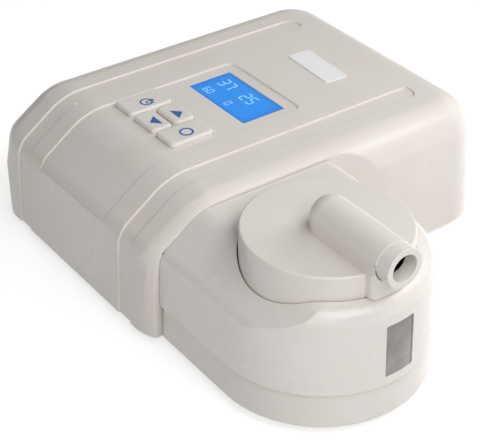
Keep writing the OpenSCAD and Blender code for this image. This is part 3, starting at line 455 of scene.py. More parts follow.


def panel(name, glow, low, size):
    """A lit dot panel, painted darker near its edges as shade from the rim of its recess. low and size are in
    millimetres in plan.
    """
    made = bpy.data.materials.new(name)
    made.use_nodes = True
    tree = made.node_tree
    surface = tree.nodes["Principled BSDF"]
    place = node(tree, "SeparateXYZ", Vector=node(tree, "TexCoord").outputs["Object"])
    rim_shade_shares = []
    lines = []
    for axis in (0, 1):
        share = spread(tree, place.outputs[axis], low[axis] * MM, (low[axis] + size[axis]) * MM)
        rim_shade_shares.append(math_node(tree, "PINGPONG", share, 0.5))
        dots = math_node(tree, "FRACT", times(tree, place.outputs[axis], 1000 / DOT))
        lines.append(math_node(tree, "GREATER_THAN", dots, DOT_GAP))
    # Painted shade: within about an eighth of its size from each edge, the panel's colour darkens.
    inner = spread(tree, math_node(tree, "MINIMUM", *rim_shade_shares), 0.0, 0.12)
    grid = times(tree, *lines)
    colour = blend_colour(tree, inner, screen(*[c * 0.86 for c in glow]), screen(*glow))
    gaps = times(tree, math_node(tree, "SUBTRACT", 1.0, grid), 0.25)
    colour = blend_colour(tree, gaps, colour, screen(*[min(c * 1.25, 255) for c in glow]))
    tree.links.new(colour, surface.inputs["Base Color"])
    tree.links.new(colour, surface.inputs["Emission Color"])
    for key, value in {"Emission Strength": 0.55, "Roughness": 0.22, "Coat Weight": 0.8,
                       "Coat Roughness": 0.04}.items():
        surface.inputs[key].default_value = value
    return made


MATERIALS["display_glass"] = panel("display_glass", (38, 127, 212), SCREEN_LOW, SCREEN_SIZE)
pane, into, out = effect("misted_shaded_pane")
mist = noise(pane, into["Vector"], 90.0, 5.0, Roughness=0.6)
drops = node(pane, "TexVoronoi", Vector=into["Vector"], Scale=into["Grain"]).outputs[0]
rise = node(pane, "SeparateXYZ", Vector=into["Vector"]).outputs[2]
# Painted shade: the pane grows darker towards the top, and random mist patches are mixed in.
height_shade = spread(pane, rise, PANE_SHADE_LOW, PANE_SHADE_HIGH)
mist_and_height_shade = plus(pane, times(pane, spread(pane, mist, 0.35, 0.65), 0.5), times(pane, height_shade, 0.5))
mist_and_shade_mix = times(pane, mist_and_height_shade, into["Tone"])
pane.links.new(blend_colour(pane, mist_and_shade_mix, into["Colour"], into["Second Colour"]), out["Colour"])
pane.links.new(plus(pane, into["Roughness"], times(pane, mist_and_height_shade, 0.08)), out["Roughness"])
beads = math_node(pane, "LESS_THAN", drops, 0.18)
pane.links.new(times(pane, beads, into["Depth"]), out["Height"])
SMOKE = (pane, (152, 148, 143), (102, 98, 95), 0.9, 0.14, 1.5, 0.01,
         {"Coat Weight": 0.5, "Coat Roughness": 0.05})
MATERIALS["window_plastic"] = material("window_plastic", *SMOKE)


def dress(obj, slot_name):
    """Gives a piece the finish of a slot."""
    obj.data.materials.clear()
    obj.data.materials.append(MATERIALS[slot_name])


slots = {part["node"]: part["material_slot"] for part in frame["record"]["subparts"]}
for name, solid in nodes.items():
    solid.data.materials.clear()
    solid.data.materials.append(MATERIALS[slots[name]])
print("solids with a finish:", len(slots))

# %% [markdown]
# The case is one thin moulding: walls that lean in 2.5 degrees, a slope at the front, and large soft edges.
# Several long blocks are kept where they overlap: the side outline with its slope, a leaning shell whose rear
# corners are turned like balls, an upright block with the round front corners, and a tilted block on each
# side for the slope's soft edges. It is how a mould's corners come about, where edges of unequal radii meet.
# %% Blocks with a leaning wall and a slope
DRAFT = 2.5  # degrees that the walls lean in
WALL_TURN = 90 - DRAFT
LEAN = math.tan(math.radians(DRAFT))
UPRIGHT = math.cos(math.radians(DRAFT))
case_low, case_high = (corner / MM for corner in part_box("top_cover"))
TOP, FOOT = case_high.z, case_low.z
LEFT, RIGHT, FRONT, REAR = case_low.x, case_high.x, case_low.y, case_high.y
print("case in mm:", [round(v, 1) for v in (RIGHT - LEFT, REAR - FRONT, TOP - FOOT)])


def leaning_block(name, low, high, axis):
    """A box whose two walls across an axis lean inwards with height."""
    obj = box(name, low, high)
    width = high[axis] - low[axis]
    pick(obj, "FACE", lambda c, f: f.normal.z > 0.9)
    value = [1, 1, 1]
    value[axis] = (width - 2 * LEAN * (high[2] - low[2])) / width
    middle = Vector([(a + b) / 2 for a, b in zip(low, high)]) * MM
    bpy.ops.transform.resize(value=value, center_override=middle)
    bpy.ops.object.mode_set(mode="OBJECT")
    return obj


def sloped_block(name, span, y0, y1, foot, top, drop, run, slope_top, radii):
    """Side outline with a slope at its front. y0 and y1 are the walls at the foot; radii are those of the
    lower bend, the shoulder and the rear edge."""
    obj = leaning_block(name, (span[0], y0, foot), (span[1], y1, top), 1)
    angle = math.degrees(math.atan2(drop, run))
    normal = Vector((0, -math.sin(math.radians(angle)), math.cos(math.radians(angle))))
    slice_at(obj, (0, *slope_top), normal, use_fill=True, clear_outer=True)
    shoulder = slope_top[0] + (top - slope_top[1]) * run / drop
    bevel(obj, lambda c, e: along(e, 0) and c.y < shoulder - run / 2 and c.z > top - drop - 8,
          tangent(radii[0], WALL_TURN - angle), 16)
    bevel(obj, lambda c, e: along(e, 0) and abs(c.y - shoulder) < 2 and c.z > top - 0.1,
          tangent(radii[1], angle), 16)
    if radii[2]:
        bevel(obj, lambda c, e: along(e, 0) and c.y > (y0 + y1) / 2 and c.z > top - 0.1,
              tangent(radii[2], WALL_TURN), 22)
    return obj


# %% Case outline
CX = (LEFT + RIGHT) / 2
RUN, DROP = 34, 24  # how far the slope runs back and drops
SLOPE = math.atan2(DROP, RUN)
BEND_R, SHOULDER_R, EDGE_R, CORNER_R = 16, 35, 20, 26  # below and above the slope, round the top, in plan
PAST, FAR = 80, 500  # how far a block runs on where another one ends it
HAIR = 0.03  # keeps two faces from falling together


def case_side(name, span, w, low, past=0):
    foot, top = FOOT - low + w, TOP - w
    reach = LEAN * (foot - FOOT) + w / UPRIGHT
    start = (FRONT + LEAN * (TOP - FOOT - DROP) + w * math.sin(SLOPE), TOP - DROP - w * math.cos(SLOPE))
    return sloped_block(name, span, FRONT + reach, REAR - reach + past, foot, top, DROP, RUN, start,
                        [max(radius - w, 1) for radius in (BEND_R, SHOULDER_R, EDGE_R)])


def slope_side(side, w, tilt=SLOPE, at=None, radius=EDGE_R):
    """A long block laid along a tilted plane through at, whose one rounded edge softens that plane's side."""
    lean = math.radians(DRAFT)
    y, z = at or (FRONT + (TOP - FOOT - DROP) * LEAN, TOP - DROP)
    turn = math.acos(math.sin(lean) * math.cos(tilt))
    obj = box("slope_side", (-400, -FAR, -FAR), (0, 0, FAR))
    shift(obj, lambda c, v: c.x > -1 and c.y < -1, (FAR / math.tan(turn), 0, 0))
    bevel(obj, lambda c, e: along(e, 2) and c.x > -1 and c.y > -1,
          tangent(radius - w, math.degrees(turn)), 22)
    depth = w - HAIR
    obj.matrix_world = (Matrix.Translation((CX * MM, 0, 0)) @ Matrix.Diagonal((side, 1, 1, 1)) @
                        Matrix.Translation(Vector((RIGHT - CX - (z - FOOT) * LEAN, y, z)) * MM) @
                        Matrix.Rotation(math.pi / 2 + tilt, 4, "X") @
                        Matrix.Rotation(math.asin(math.sin(lean) * math.sin(tilt) / math.sin(turn)), 4, "Y") @
                        Matrix.Translation(Vector((-depth * math.tan(turn / 2), -depth, 0)) * MM))
    return clean(settle(obj, "slope_side"))


def bend_planes():
    """Planes that touch the shoulder and the lower bend, as tilt, place and radius of their sides."""
    upright = math.radians(WALL_TURN)
    foot_y, foot_z = FRONT + (TOP - FOOT - DROP) * LEAN, TOP - DROP
    high = (foot_y + RUN + SHOULDER_R * math.tan(SLOPE / 2), TOP - SHOULDER_R)
    middle, reach = (SLOPE + upright) / 2, BEND_R / math.cos((upright - SLOPE) / 2)
    low = (foot_y + reach * math.sin(middle), foot_z - reach * math.cos(middle))
    planes = [(SLOPE * k / 5, high, SHOULDER_R, EDGE_R) for k in range(1, 5)]
    planes += [(SLOPE + (upright - SLOPE) * k / 7, low, BEND_R, EDGE_R + (CORNER_R - EDGE_R) * k / 7)
               for k in range(1, 7)]
    return [(tilt, (c[0] - r * math.sin(tilt), c[1] + r * math.cos(tilt)), soft)
            for tilt, c, r, soft in planes]


def leaning_shell(w, foot, top):
    """The sides, back and top, with the back's corners turned like balls. It runs on past the front."""
    reach = LEAN * (foot - FOOT) + w / UPRIGHT
    obj = leaning_block("shell", (LEFT + reach, FRONT - 90, foot), (RIGHT - reach, REAR - reach, top), 0)
    shift(obj, lambda c, v: c.y > 0 and c.z > top - 1, (0, -LEAN * (top - foot), 0))
    rise = lambda e: abs(e.verts[0].co.z - e.verts[1].co.z) / MM
    bevel(obj, lambda c, e: c.y > 0 and rise(e) > 30, CORNER_R - w, 16)
    bevel(obj, lambda c, e: rise(e) < 1 and c.z > top - 1 and c.y > FRONT - PAST,
          tangent(EDGE_R - w, WALL_TURN), 22)
    return obj


def case_form(name, w, low=0):
    foot, top = FOOT - low + w, TOP - w
    form = case_side(name, (LEFT - 20, RIGHT + 20), w, low, PAST)
    plan = box("plan", (LEFT + w, FRONT + w, -60), (RIGHT - w, REAR + PAST, TOP + 20))
    bevel(plan, lambda c, e: along(e, 2) and c.y < 0, CORNER_R - w, 26)
    for tool in (leaning_shell(w, foot, top), plan, slope_side(-1, w), slope_side(1, w)):
        overlap(form, tool)
    return form


def prism(name, xs, ys, zs, radius, steps):
    """An upright block with rounded corners in plan."""
    obj = box(name, (xs[0], ys[0], zs[0]), (xs[1], ys[1], zs[1]))
    bevel(obj, lambda c, e: along(e, 2), radius, steps)
    return obj


def round_bends(form, w):
    """Softens the sides of the two bends, a narrow plane at a time."""
    for tilt, at, radius in bend_planes():
        for side in (-1, 1):
            overlap(form, slope_side(side, w, tilt, at, radius))
    return form


case = round_bends(case_form("case_shell", 0), 0)
print("case faces:", len(case.data.polygons))

# %% [markdown]
# The mould's top carries two long lowered bands, a lowered field for the screen and keys, and the bay
# for the humidifier. The cutters of the bands and the field are trimmed underneath by a copy of the case's
# own side outline, so that their floors follow the slope.
# %% Hollow, bay and lowered bands
WALL = 2.6
DOCK_IN, BEND_RUN = 11.6, 26  # the bay cuts in this far, and its bend comes out over this length
HY, HUM_R = FRONT + 68.5, 61.5  # the humidifier's middle in y, and its radius
DOCK_X, DOCK_BACK = RIGHT - DOCK_IN, HY + HUM_R + 2
SWING, BAY_R = math.atan2(DOCK_IN, BEND_RUN), 30


def bay(name, grow):
    """The bay's plan: straight beside the humidifier, then a soft bend out to the case's right side."""
    x, y = DOCK_X - grow, DOCK_BACK + grow * math.tan(SWING / 2)
    obj = box(name, (x, FRONT - 30, -2), (RIGHT + 30, y, TOP + 30))
    shift(obj, lambda c, v: c.x > RIGHT and c.y > FRONT, (0, (RIGHT + 30 - x) / math.tan(SWING), 0))
    bevel(obj, lambda c, e: along(e, 2) and c.x < x + 1 and c.y > FRONT,
          tangent(BAY_R + grow, math.degrees(SWING)), 5)
    return obj


inside = round_bends(case_form("inside", WALL, 2 * WALL), WALL)
cut(inside, bay("bay_inside", WALL))
cut(case, inside)
cut(case, bay("bay", 0))
BAND_NEAR, BAND_FAR, BAND_END = 50.5, 62, 78  # from the middle of the case, and in y
SUNK = 0.9  # how deep the bands and the field lie


def band(side):
    x0, x1 = sorted((CX + side * BAND_NEAR, CX + side * BAND_FAR))
    obj = box("band", (x0, FRONT - 20, FOOT - 1), (x1, BAND_END, TOP + 3))
    outer = x1 if side > 0 else x0
    bevel(obj, lambda c, e: along(e, 2) and c.y > 0 and abs(c.x - outer) < 1, 6.9, 12)
    bevel(obj, lambda c, e: along(e, 2) and c.y > 70 and abs(c.x - outer) > 6.8, 2.3, 6)
    return cut(obj, case_side("floor", (x0 - 5, x1 + 5), SUNK, 20))


for side in (-1, 1):
    cut(case, band(side))

FIELD_X, FIELD_WIDE = CX - 36.4, 70
LCD_X, LCD_Y = CX - 0.6, FRONT + 118.5
field = box("field", (FIELD_X, FRONT + 3.2, FOOT), (FIELD_X + FIELD_WIDE, LCD_Y + 22.5, TOP + 3))
bevel(field, lambda c, e: along(e, 2) and c.y > 0, 5, 10)
floor = case_side("floor", (FIELD_X - 5, FIELD_X + FIELD_WIDE + 5), 0, 20)
only(floor)
bpy.ops.transform.translate(value=(0, 0, -SUNK * MM))
cut(field, floor)
cut(case, field)


def near_band(c):
    return BAND_NEAR - 1.5 < abs(c.x - CX) < BAND_FAR + 1.5 and c.y < BAND_END + 1 and c.z > FOOT + 1


def near_field(c):
    return -1 < c.x - FIELD_X < FIELD_WIDE + 1 and c.y < LCD_Y + 23.5 and c.z > TOP - DROP


print("rim edges of bands:", soften(case, near_band, 0.8, 4))
print("rim edges of the field:", soften(case, near_field, 0.75, 4))
print("case faces with bands and field:", len(case.data.polygons))

# %% Openings of the case
KEYS = {"menu": ((CX - 35, CX - 16), (-75.7, -46.2)), "down": ((CX - 14.3, CX + 7.2), (-75.7, -61.8)),
        "up": ((CX - 14.3, CX + 7.2), (-60.1, -46.2)), "power": ((CX + 8.9, CX + 26.9), (-75.7, -46.2))}
KEY_GAP = 0.25
CUT_Z, BEHIND = (TOP - 4, TOP + 2), REAR + 5  # cutters run through the top, and out at the back
cut(case, prism("screen_cut", (LCD_X - 28, LCD_X + 28), (LCD_Y - 15, LCD_Y + 15), CUT_Z, 1, 4))
for xs, ys in KEYS.values():
    cut(case, prism("key_cut", (xs[0] - KEY_GAP, xs[1] + KEY_GAP), (ys[0] - KEY_GAP, ys[1] + KEY_GAP),
                    CUT_Z, 3 + KEY_GAP, 6))
in_panel = lambda c: 1 < c.x - FIELD_X < FIELD_WIDE - 1 and -77 < c.y < LCD_Y + 16 and TOP - 1.1 < c.z
print("rim edges of openings:", soften(case, in_panel, 0.3, 2))

# Towards the humidifier: its air port, and the tongue that carries its tray.
HX, LX = DOCK_X + 60.6, DOCK_X + 65.1  # the middle in x of the humidifier and of its lid
HOUS_Z, HUM_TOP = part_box("chamber_housing")[0].z / MM, TOP - 4.8
PORT_Z = HOUS_Z + 19
cut(case, rod("port_cut", (DOCK_X - 4, HY, PORT_Z), (DOCK_X + 1, HY, PORT_Z), 10.45))
cut(case, box("tongue_cut", (DOCK_X - 4, HY - 38.8, FOOT - 1), (DOCK_X + 1, HY + 41.8, 11.3)))

# At the back: the mains inlet, the oxygen fitting and the air grille, each with its seat.
INLET_Z, INLET_X = 32, LEFT + 20
cut(case, box("inlet_seat", (INLET_X - 0.3, REAR - 2.1, INLET_Z - 16.3),
              (INLET_X + 50.3, BEHIND, INLET_Z + 16.3)))
cut(case, box("inlet_cut", (INLET_X + 2.2, REAR - 10, INLET_Z - 13.8),
              (INLET_X + 47.8, BEHIND, INLET_Z + 13.8)))
OX_X, OX_Z = LEFT + 82, 30
cut(case, rod("oxygen_seat", (OX_X, REAR - 2, OX_Z), (OX_X, BEHIND, OX_Z), 9.3))
cut(case, rod("oxygen_cut", (OX_X, REAR - 10, OX_Z), (OX_X, BEHIND, OX_Z), 6.1))
GRILLE_X = CX + 9
grille_seat = box("grille_seat", (GRILLE_X - 0.3, REAR - 20, 11.7), (GRILLE_X + 54.3, BEHIND, 52.3))
cut(grille_seat, case_side("floor", (GRILLE_X - 5, GRILLE_X + 60), 1.45, 20))
cut(case, grille_seat)
cut(case, box("air_cut", (GRILLE_X + 4, REAR - 15, 16), (GRILLE_X + 50, BEHIND, 48)))


def bay_rim(c):
    """True on the edge of the bay: its straight side, its bend and its slanted end."""
    bend_y = DOCK_BACK - BAY_R * math.tan(SWING / 2)
    if c.y < bend_y:
        return abs(c.x - DOCK_X) < 0.1
    slanted = (c.x - DOCK_X) * math.cos(SWING) - (c.y - DOCK_BACK) * math.sin(SWING)
    return abs(math.hypot(c.x - DOCK_X - BAY_R, c.y - bend_y) - BAY_R) < 0.1 or abs(slanted) < 0.1


def convex(obj):
    """Splits bent and hollow-sided faces into plain ones, which hold their shape when an edge is rounded."""
    pick(obj, "FACE", lambda c, f: True)
    bpy.ops.mesh.vert_connect_nonplanar(angle_limit=math.radians(1))
    bpy.ops.mesh.vert_connect_concave()
    bpy.ops.object.mode_set(mode="OBJECT")


# Extra edges across long thin faces, which else fold when they are drawn.
slice_at(case, (DOCK_X - 6, 0, 0), (1, 0, 0))
for y in (-100, -40, DOCK_BACK - 8, DOCK_BACK + 10, DOCK_BACK + 32):
    slice_at(case, (0, y, 0), (0, 1, 0))
pick(case, "VERT", lambda c, v: bay_rim(c))
bpy.ops.mesh.remove_doubles(threshold=0.7 * MM)
bpy.ops.object.mode_set(mode="OBJECT")
convex(case)
print("rim edges of the bay:", soften(case, lambda c: bay_rim(c) and c.z > FOOT + 1, 0.8, 4, 30))
clean(case)
convex(case)
finish(case)
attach(case, "main_unit")
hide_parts("top_cover")
dress(case, "case_plastic")
print("case faces with openings:", len(case.data.polygons))

# %% [markdown]
# The humidifier has one round end and two straight sides. A leaning cylinder gets its soft top edge,
# is cut in half, and the open half is pulled straight back towards the case, which is how one would
# draw it by hand. A sloped block then takes off the front, as on the case, so both slopes line up.
# %% Humidifier form
HUM_X0, HUM_EDGE, ROUND = DOCK_X + 0.6, 10, 180  # ROUND is the number of sides of a large circle
HUM_RUN, HUM_DROP = 26.5, 18.2


def hum_form(name, w, low):
    foot, top = FOOT - low + w, HUM_TOP - w
    wide = HUM_R + LEAN * (HOUS_Z - foot) - w / UPRIGHT
    narrow = HUM_R + LEAN * (HOUS_Z - top) - w / UPRIGHT
    obj = rod(name, (HX, HY, foot), (HX, HY, top), wide, ROUND, narrow)
    bevel(obj, lambda c, e: all(abs(v.co.z / MM - top) < 0.01 for v in e.verts),
          tangent(max(HUM_EDGE - w, 1), WALL_TURN), 14)
    slice_at(obj, (HX, HY, 0), (1, 0, 0), clear_inner=True)
    pick(obj, "EDGE", lambda c, e: e.is_boundary)
    bpy.ops.mesh.extrude_edges_move(TRANSFORM_OT_translate={"value": ((HUM_X0 + w - HX) * MM, 0, 0)})
    bpy.ops.mesh.edge_face_add()
    bpy.ops.mesh.select_all(action="SELECT")
    bpy.ops.mesh.normals_make_consistent(inside=False)
    bpy.ops.object.mode_set(mode="OBJECT")
    slope = math.hypot(HUM_RUN, HUM_DROP)
    front = HY - HUM_R + LEAN * (HUM_TOP - HUM_DROP - HOUS_Z)
    start = (front + w * HUM_DROP / slope, HUM_TOP - HUM_DROP - w * HUM_RUN / slope)
    y0 = HY - HUM_R - LEAN * (HOUS_Z - foot) + w / UPRIGHT - 0.02
    return overlap(obj, sloped_block("keep", (HUM_X0 - 10, 160), y0, HY + 140, foot - 1, top + 0.02, HUM_DROP,
                                     HUM_RUN, start, (max(12 - w, 1), max(14 - w, 1), 0)))


housing = hum_form("chamber_shell", 0, 0)
print("housing faces:", len(housing.data.polygons))

# %% Housing wall, well and openings
LEDGE_Z, LEDGE_TOP, WELL_R = HUM_TOP - 21.2, HUM_TOP - 18.6, 45.9
cut(housing, hum_form("inside", WALL, 0))
well = rod("well_wall", (LX, HY, LEDGE_Z), (LX, HY, TOP), WELL_R + WALL, ROUND)
cut(well, rod("well_hole", (LX, HY, LEDGE_TOP), (LX, HY, TOP + 1), WELL_R, ROUND))
cut(well, rod("ledge_hole", (LX, HY, LEDGE_Z - 1), (LX, HY, TOP + 1), 40, ROUND))
overlap(well, hum_form("trim", WALL / 2, 0))
add(housing, well)
cut(housing, rod("well_hole", (LX, HY, LEDGE_TOP), (LX, HY, TOP + 20), WELL_R, ROUND))
cut(housing, box("foot_cut", (0, FRONT - 20, -5), (170, DOCK_BACK + 10, HOUS_Z)))
cut(housing, rod("port_cut", (HUM_X0 - 1, HY, PORT_Z), (HUM_X0 + 4, HY, PORT_Z), 9.1))
WIN_Y, WIN_Z, WIN_HALF, WIN_TALL = HY + 3.5, HOUS_Z + 4.6, 9.3, 31.5
window_cut = box("window_cut", (HX + 40, WIN_Y - WIN_HALF, WIN_Z), (160, WIN_Y + WIN_HALF, WIN_Z + WIN_TALL))
bevel(window_cut, lambda c, e: along(e, 0), 1.2, 6)
cut(housing, window_cut)
well_rim = lambda c: abs(math.hypot(c.x - LX, c.y - HY) - WELL_R) < 0.1 and c.z > LEDGE_TOP + 1
print("rim edges of the well:", soften(housing, well_rim, 0.6, 3, 30))
clean(housing)
finish(housing)
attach(housing, "chamber")
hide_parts("chamber_housing")
dress(housing, "chamber_plastic")
print("housing faces with openings:", len(housing.data.polygons))

# %% Tray
TRAY_TOP, SCREW_X = 26.3, DOCK_X - 11.4
tray = hum_form("tray_shell", 1.5, 10)
overlap(tray, box("tray_band", (0, FRONT - 20, FOOT), (160, DOCK_BACK + 5, TRAY_TOP)))
cut(tray, rod("heater_well", (LX, HY, 9), (LX, HY, 30), 40.4, ROUND))
add(tray, box("tongue", (DOCK_X - 18.4, HY - 38.5, 8), (HUM_X0 + 3, HY + 41.5, 11)))
for y in (HY - 28.5, HY + 31.5):
    cut(tray, rod("screw_hole", (SCREW_X, y, 7), (SCREW_X, y, 12), 1.55, 32))
tray_rim = lambda c: c.z > TRAY_TOP - 0.1 and math.hypot(c.x - LX, c.y - HY) > 45
print("tray edges:", soften(tray, lambda c: c.z < FOOT + 0.1, 1.4, 4, 60), soften(tray, tray_rim, 0.4, 2, 60))
clean(tray)
finish(tray)
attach(tray, "main_unit")
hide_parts("humidifier_tray")
dress(tray, "tray_plastic")
print("tray faces:", len(tray.data.polygons))

# %% [markdown]
# The lid is a shallow cap over the round well, and the outlet tube lies across it. The two are separate
# pieces, which meet in a plain line round the tube's foot.
# %% Lid and outlet tube
LID_LOW, LID_TOP, LID_R = LEDGE_TOP + 2.9, TOP + 8.8, 45.3
RISE_X, RISE_R, SLEEVE_R, SLEEVE_IN = LX + 3.5, 7, 16.65, 14.05
lid = rod("lid_cap", (LX, HY, LID_LOW), (LX, HY, LID_TOP), LID_R, ROUND)
bevel(lid, lambda c, e: all(v.co.z / MM > LID_TOP - 0.01 for v in e.verts), 1.2, 6)
under = rod("under", (LX, HY, LID_LOW - 1), (LX, HY, LID_TOP - WALL), LID_R - WALL, ROUND)
sleeve = rod("sleeve", (LX, HY, LID_LOW - 2), (LX, HY, LID_TOP), SLEEVE_R)
cut(sleeve, rod("sleeve_hole", (LX, HY, LID_LOW - 3), (LX, HY, LID_TOP - WALL), SLEEVE_IN))
cut(under, sleeve)
cut(lid, under)
cut(lid, rod("passage", (RISE_X, HY, LID_TOP - 6), (RISE_X, HY, LID_TOP + 1), RISE_R, 64))
clean(lid)
finish(lid)
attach(lid, "outer_lid")
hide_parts("outlet_lid")
dress(lid, "lid_plastic")
print("lid faces:", len(lid.data.polygons))

# %% Outlet tube
TUBE_Z, TUBE_R, MOUTH_X = LID_TOP + 7, 11, LX + 58.5
TUBE_X0, TUBE_X1, BODY_R = LX + 3.4, LX + 50, TUBE_R + 0.4
tube = rod("tube_body", (TUBE_X0, HY, TUBE_Z), (TUBE_X1, HY, TUBE_Z), BODY_R)
bpy.ops.object.select_all(action="DESELECT")
bpy.ops.mesh.primitive_uv_sphere_add(segments=96, ring_count=48, radius=BODY_R * MM,
                                     location=Vector((TUBE_X0, HY, TUBE_Z)) * MM,
                                     rotation=(0, math.radians(90), 0))
add(tube, settle(bpy.context.object, "tube_end"))
add(tube, rod("tube_root", (TUBE_X0, HY, LID_TOP), (TUBE_X0, HY, TUBE_Z), BODY_R))
add(tube, box("web", (TUBE_X0, HY - BODY_R, LID_TOP), (TUBE_X1, HY + BODY_R, TUBE_Z)))
add(tube, box("skirt", (LX + LID_R - 2, HY - BODY_R, HUM_TOP + 0.7), (TUBE_X1, HY + BODY_R, LID_TOP + 1)))
add(tube, rod("free_end", (LX + 49, HY, TUBE_Z), (MOUTH_X, HY, TUBE_Z), TUBE_R))
cut(tube, rod("lid_space", (LX, HY, HUM_TOP - 1), (LX, HY, LID_TOP), LID_R + 0.05, ROUND))
bore = rod("bore", (RISE_X, HY, TUBE_Z), (MOUTH_X + 1, HY, TUBE_Z), 7.5, 72)
add(bore, rod("rise", (RISE_X, HY, LID_TOP - 1), (RISE_X, HY, TUBE_Z + 3), RISE_R, 64))
cut(tube, bore)
corner = lambda c, e: along(e, 2) and abs(c.x - TUBE_X1) < 0.1 and abs(abs(c.y - HY) - BODY_R) < 0.1
print("corner edges:", bevel(tube, corner, 4, 8))
print("mouth edges:", soften(tube, lambda c: c.x > MOUTH_X - 0.1, 0.5, 3))
clean(tube)
finish(tube)
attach(tube, "outer_lid")
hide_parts("outlet_tube")
dress(tube, "lid_plastic")
print("tube faces:", len(tube.data.polygons))

# %% Keys
CAP_TOP, FLANGE, FLANGE_Z = TOP + 1.5, 0.5, (77.2, 79.1)
for key, (xs, ys) in KEYS.items():
    cap = prism("key_top_" + key, xs, ys, (TOP - 3.9, CAP_TOP), 3, 8)
    bevel(cap, lambda c, e: all(v.co.z / MM > CAP_TOP - 0.01 for v in e.verts), 1.7, 5)
    add(cap, prism("flange", (xs[0] - FLANGE, xs[1] + FLANGE), (ys[0] - FLANGE, ys[1] + FLANGE),
                   FLANGE_Z, 3, 6))
    x, y = sum(xs) / 2, sum(ys) / 2
    add(cap, rod("stem", (x, y, 74.8), (x, y, 78), 2, 32))
    finish(clean(cap))
    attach(cap, "key_" + key + "_cap")
    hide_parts("key_" + key)
    dress(cap, "key_plastic")
print("keys:", list(KEYS))

# %% [markdown]
# Each key carries a small printed sign: a clock, two arrows and a ring. A print is a film of ink, so each
# sign is a very thin raised shape, cut from discs and bars, and it rides on its key.
# %% Signs on the keys
INK = (moulded, (58, 102, 168), (74, 118, 180), 0.6, 0.42, 0.25, 0.002, {})
MATERIALS["key_ink"] = material("key_ink", *INK)
INK_Z = (TOP + 1.42, TOP + 1.6)


def ring_sign(name, x, y, outer, inner):
    obj = rod(name, (x, y, INK_Z[0]), (x, y, INK_Z[1]), outer, 48)
    return cut(obj, rod("hole", (x, y, INK_Z[0] - 1), (x, y, INK_Z[1] + 1), inner, 48))


def bar_sign(x, y, length, width, turn):
    obj = box("bar", (-width / 2, 0, INK_Z[0]), (width / 2, length, INK_Z[1] - 0.01))
    obj.rotation_euler = (0, 0, math.radians(turn))
    obj.location = (x * MM, y * MM, 0)
    return settle(obj, "bar")


def arrow_sign(name, x, y, way):
    obj = rod(name, (x, y, INK_Z[0]), (x, y, INK_Z[1]), 5.2, 3)
    top = max(obj.data.vertices, key=lambda v: abs(v.co.y / MM - y)).co.y / MM - y
    if top * way < 0:
        only(obj)
        bpy.ops.transform.rotate(value=math.pi, orient_axis="Z", center_override=(x * MM, y * MM, 0))
        bpy.ops.object.transform_apply(location=True, rotation=True, scale=True)
    only(obj)
    bpy.ops.transform.resize(value=(1.15, 0.72, 1), center_override=(x * MM, y * MM, 0))
    bpy.ops.object.transform_apply(location=True, rotation=True, scale=True)
    bevel(obj, lambda c, e: along(e, 2), 0.4, 3)
    return obj


CLOCK_X, CLOCK_Y = CX - 23.3, -60.4
clock = ring_sign("sign_clock", CLOCK_X, CLOCK_Y, 3.9, 2.9)
for x, y, length, width, turn in ((0, 0, 2.9, 0.8, 0), (0, 0, 2.2, 0.8, -100), (0, 3.3, 1.6, 2.2, 0),
                                  (2.5, 2.5, 1.5, 0.9, -45)):
    add(clock, bar_sign(CLOCK_X + x, CLOCK_Y + y, length, width, turn))
signs = {"menu": clock, "up": arrow_sign("sign_up", CX - 1.2, -53.3, 1),
         "down": arrow_sign("sign_down", CX - 1.6, -68.2, -1),
         "power": ring_sign("sign_ring", CX + 19.2, -60.6, 4.3, 3.1)}
for key, sign in signs.items():
    finish(clean(sign, 0.001))
    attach(sign, "key_" + key + "_cap")
    dress(sign, "key_plastic")
    sign.data.materials[0] = MATERIALS["key_ink"]
print("signs:", list(signs))

# %% [markdown]
# The screen shows four plain numbers, such as a temperature, a flow and an oxygen share. Figures built of
# seven bars are how such a panel draws them; each bar is a small block laid just above the glass, and it
# gives off a little light.
# %% Readings on the screen
BARS = {"a": (0, 1, 1, 0), "b": (0.5, 0.5, 0, 1), "c": (0.5, -0.5, 0, 1), "d": (0, -1, 1, 0),
        "e": (-0.5, -0.5, 0, 1), "f": (-0.5, 0.5, 0, 1), "g": (0, 0, 1, 0)}
FIGURES = {"0": "abcdef", "2": "abged", "3": "abgcd", "5": "afgcd", "6": "afgedc", "7": "abc"}
STEP, LONG, THIN = 0.78, 0.23, 0.055  # from figure to figure, and half of a bar, as shares of the height
GLASS_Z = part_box("lcd_window")[1].z / MM


def reading(digits, x, y, tall):
    """Blocks for the lit bars of a number. x and y are the middle of its first figure."""
    blocks = []
    for place, digit in enumerate(digits):
        for bar in FIGURES[digit]:
            dx, dy, across, up = BARS[bar]
            cx, cy = x + place * tall * STEP + dx * tall * 0.5, y + dy * tall * 0.5
            wide, high = tall * (LONG * across + THIN * up), tall * (LONG * up + THIN * across)
            blocks.append(box("bar", (cx - wide, cy - high, GLASS_Z), (cx + wide, cy + high, GLASS_Z + 0.05)))
    return blocks


def merge(pieces, name):
    bpy.ops.object.select_all(action="DESELECT")
    for piece in pieces:
        piece.select_set(True)
    bpy.context.view_layer.objects.active = pieces[0]
    bpy.ops.object.join()
    pieces[0].name = pieces[0].data.name = name
    return pieces[0]


rows = reading("37", LCD_X - 19, LCD_Y + 5, 8) + reading("25", LCD_X + 3, LCD_Y + 5, 8)
rows += reading("60", LCD_X - 19, LCD_Y - 8, 5) + reading("0", LCD_X + 3, LCD_Y - 8, 5)
readout = merge(rows, "screen_figures")
bevel(readout, lambda c, e: along(e, 2), 0.18, 2)
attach(readout, "main_unit")
pixels = material("screen_pixels", moulded, (140, 200, 255), (160, 214, 255), 0.5, 0.3, 0.45, 0.001, {})
tree = pixels.node_tree
tree.nodes["Principled BSDF"].inputs["Emission Strength"].default_value = 0.35
tree.links.new(tree.nodes["Group"].outputs["Colour"], tree.nodes["Principled BSDF"].inputs["Emission Color"])
readout.data.materials.clear()
readout.data.materials.append(pixels)
print("lit bars:", len(rows))

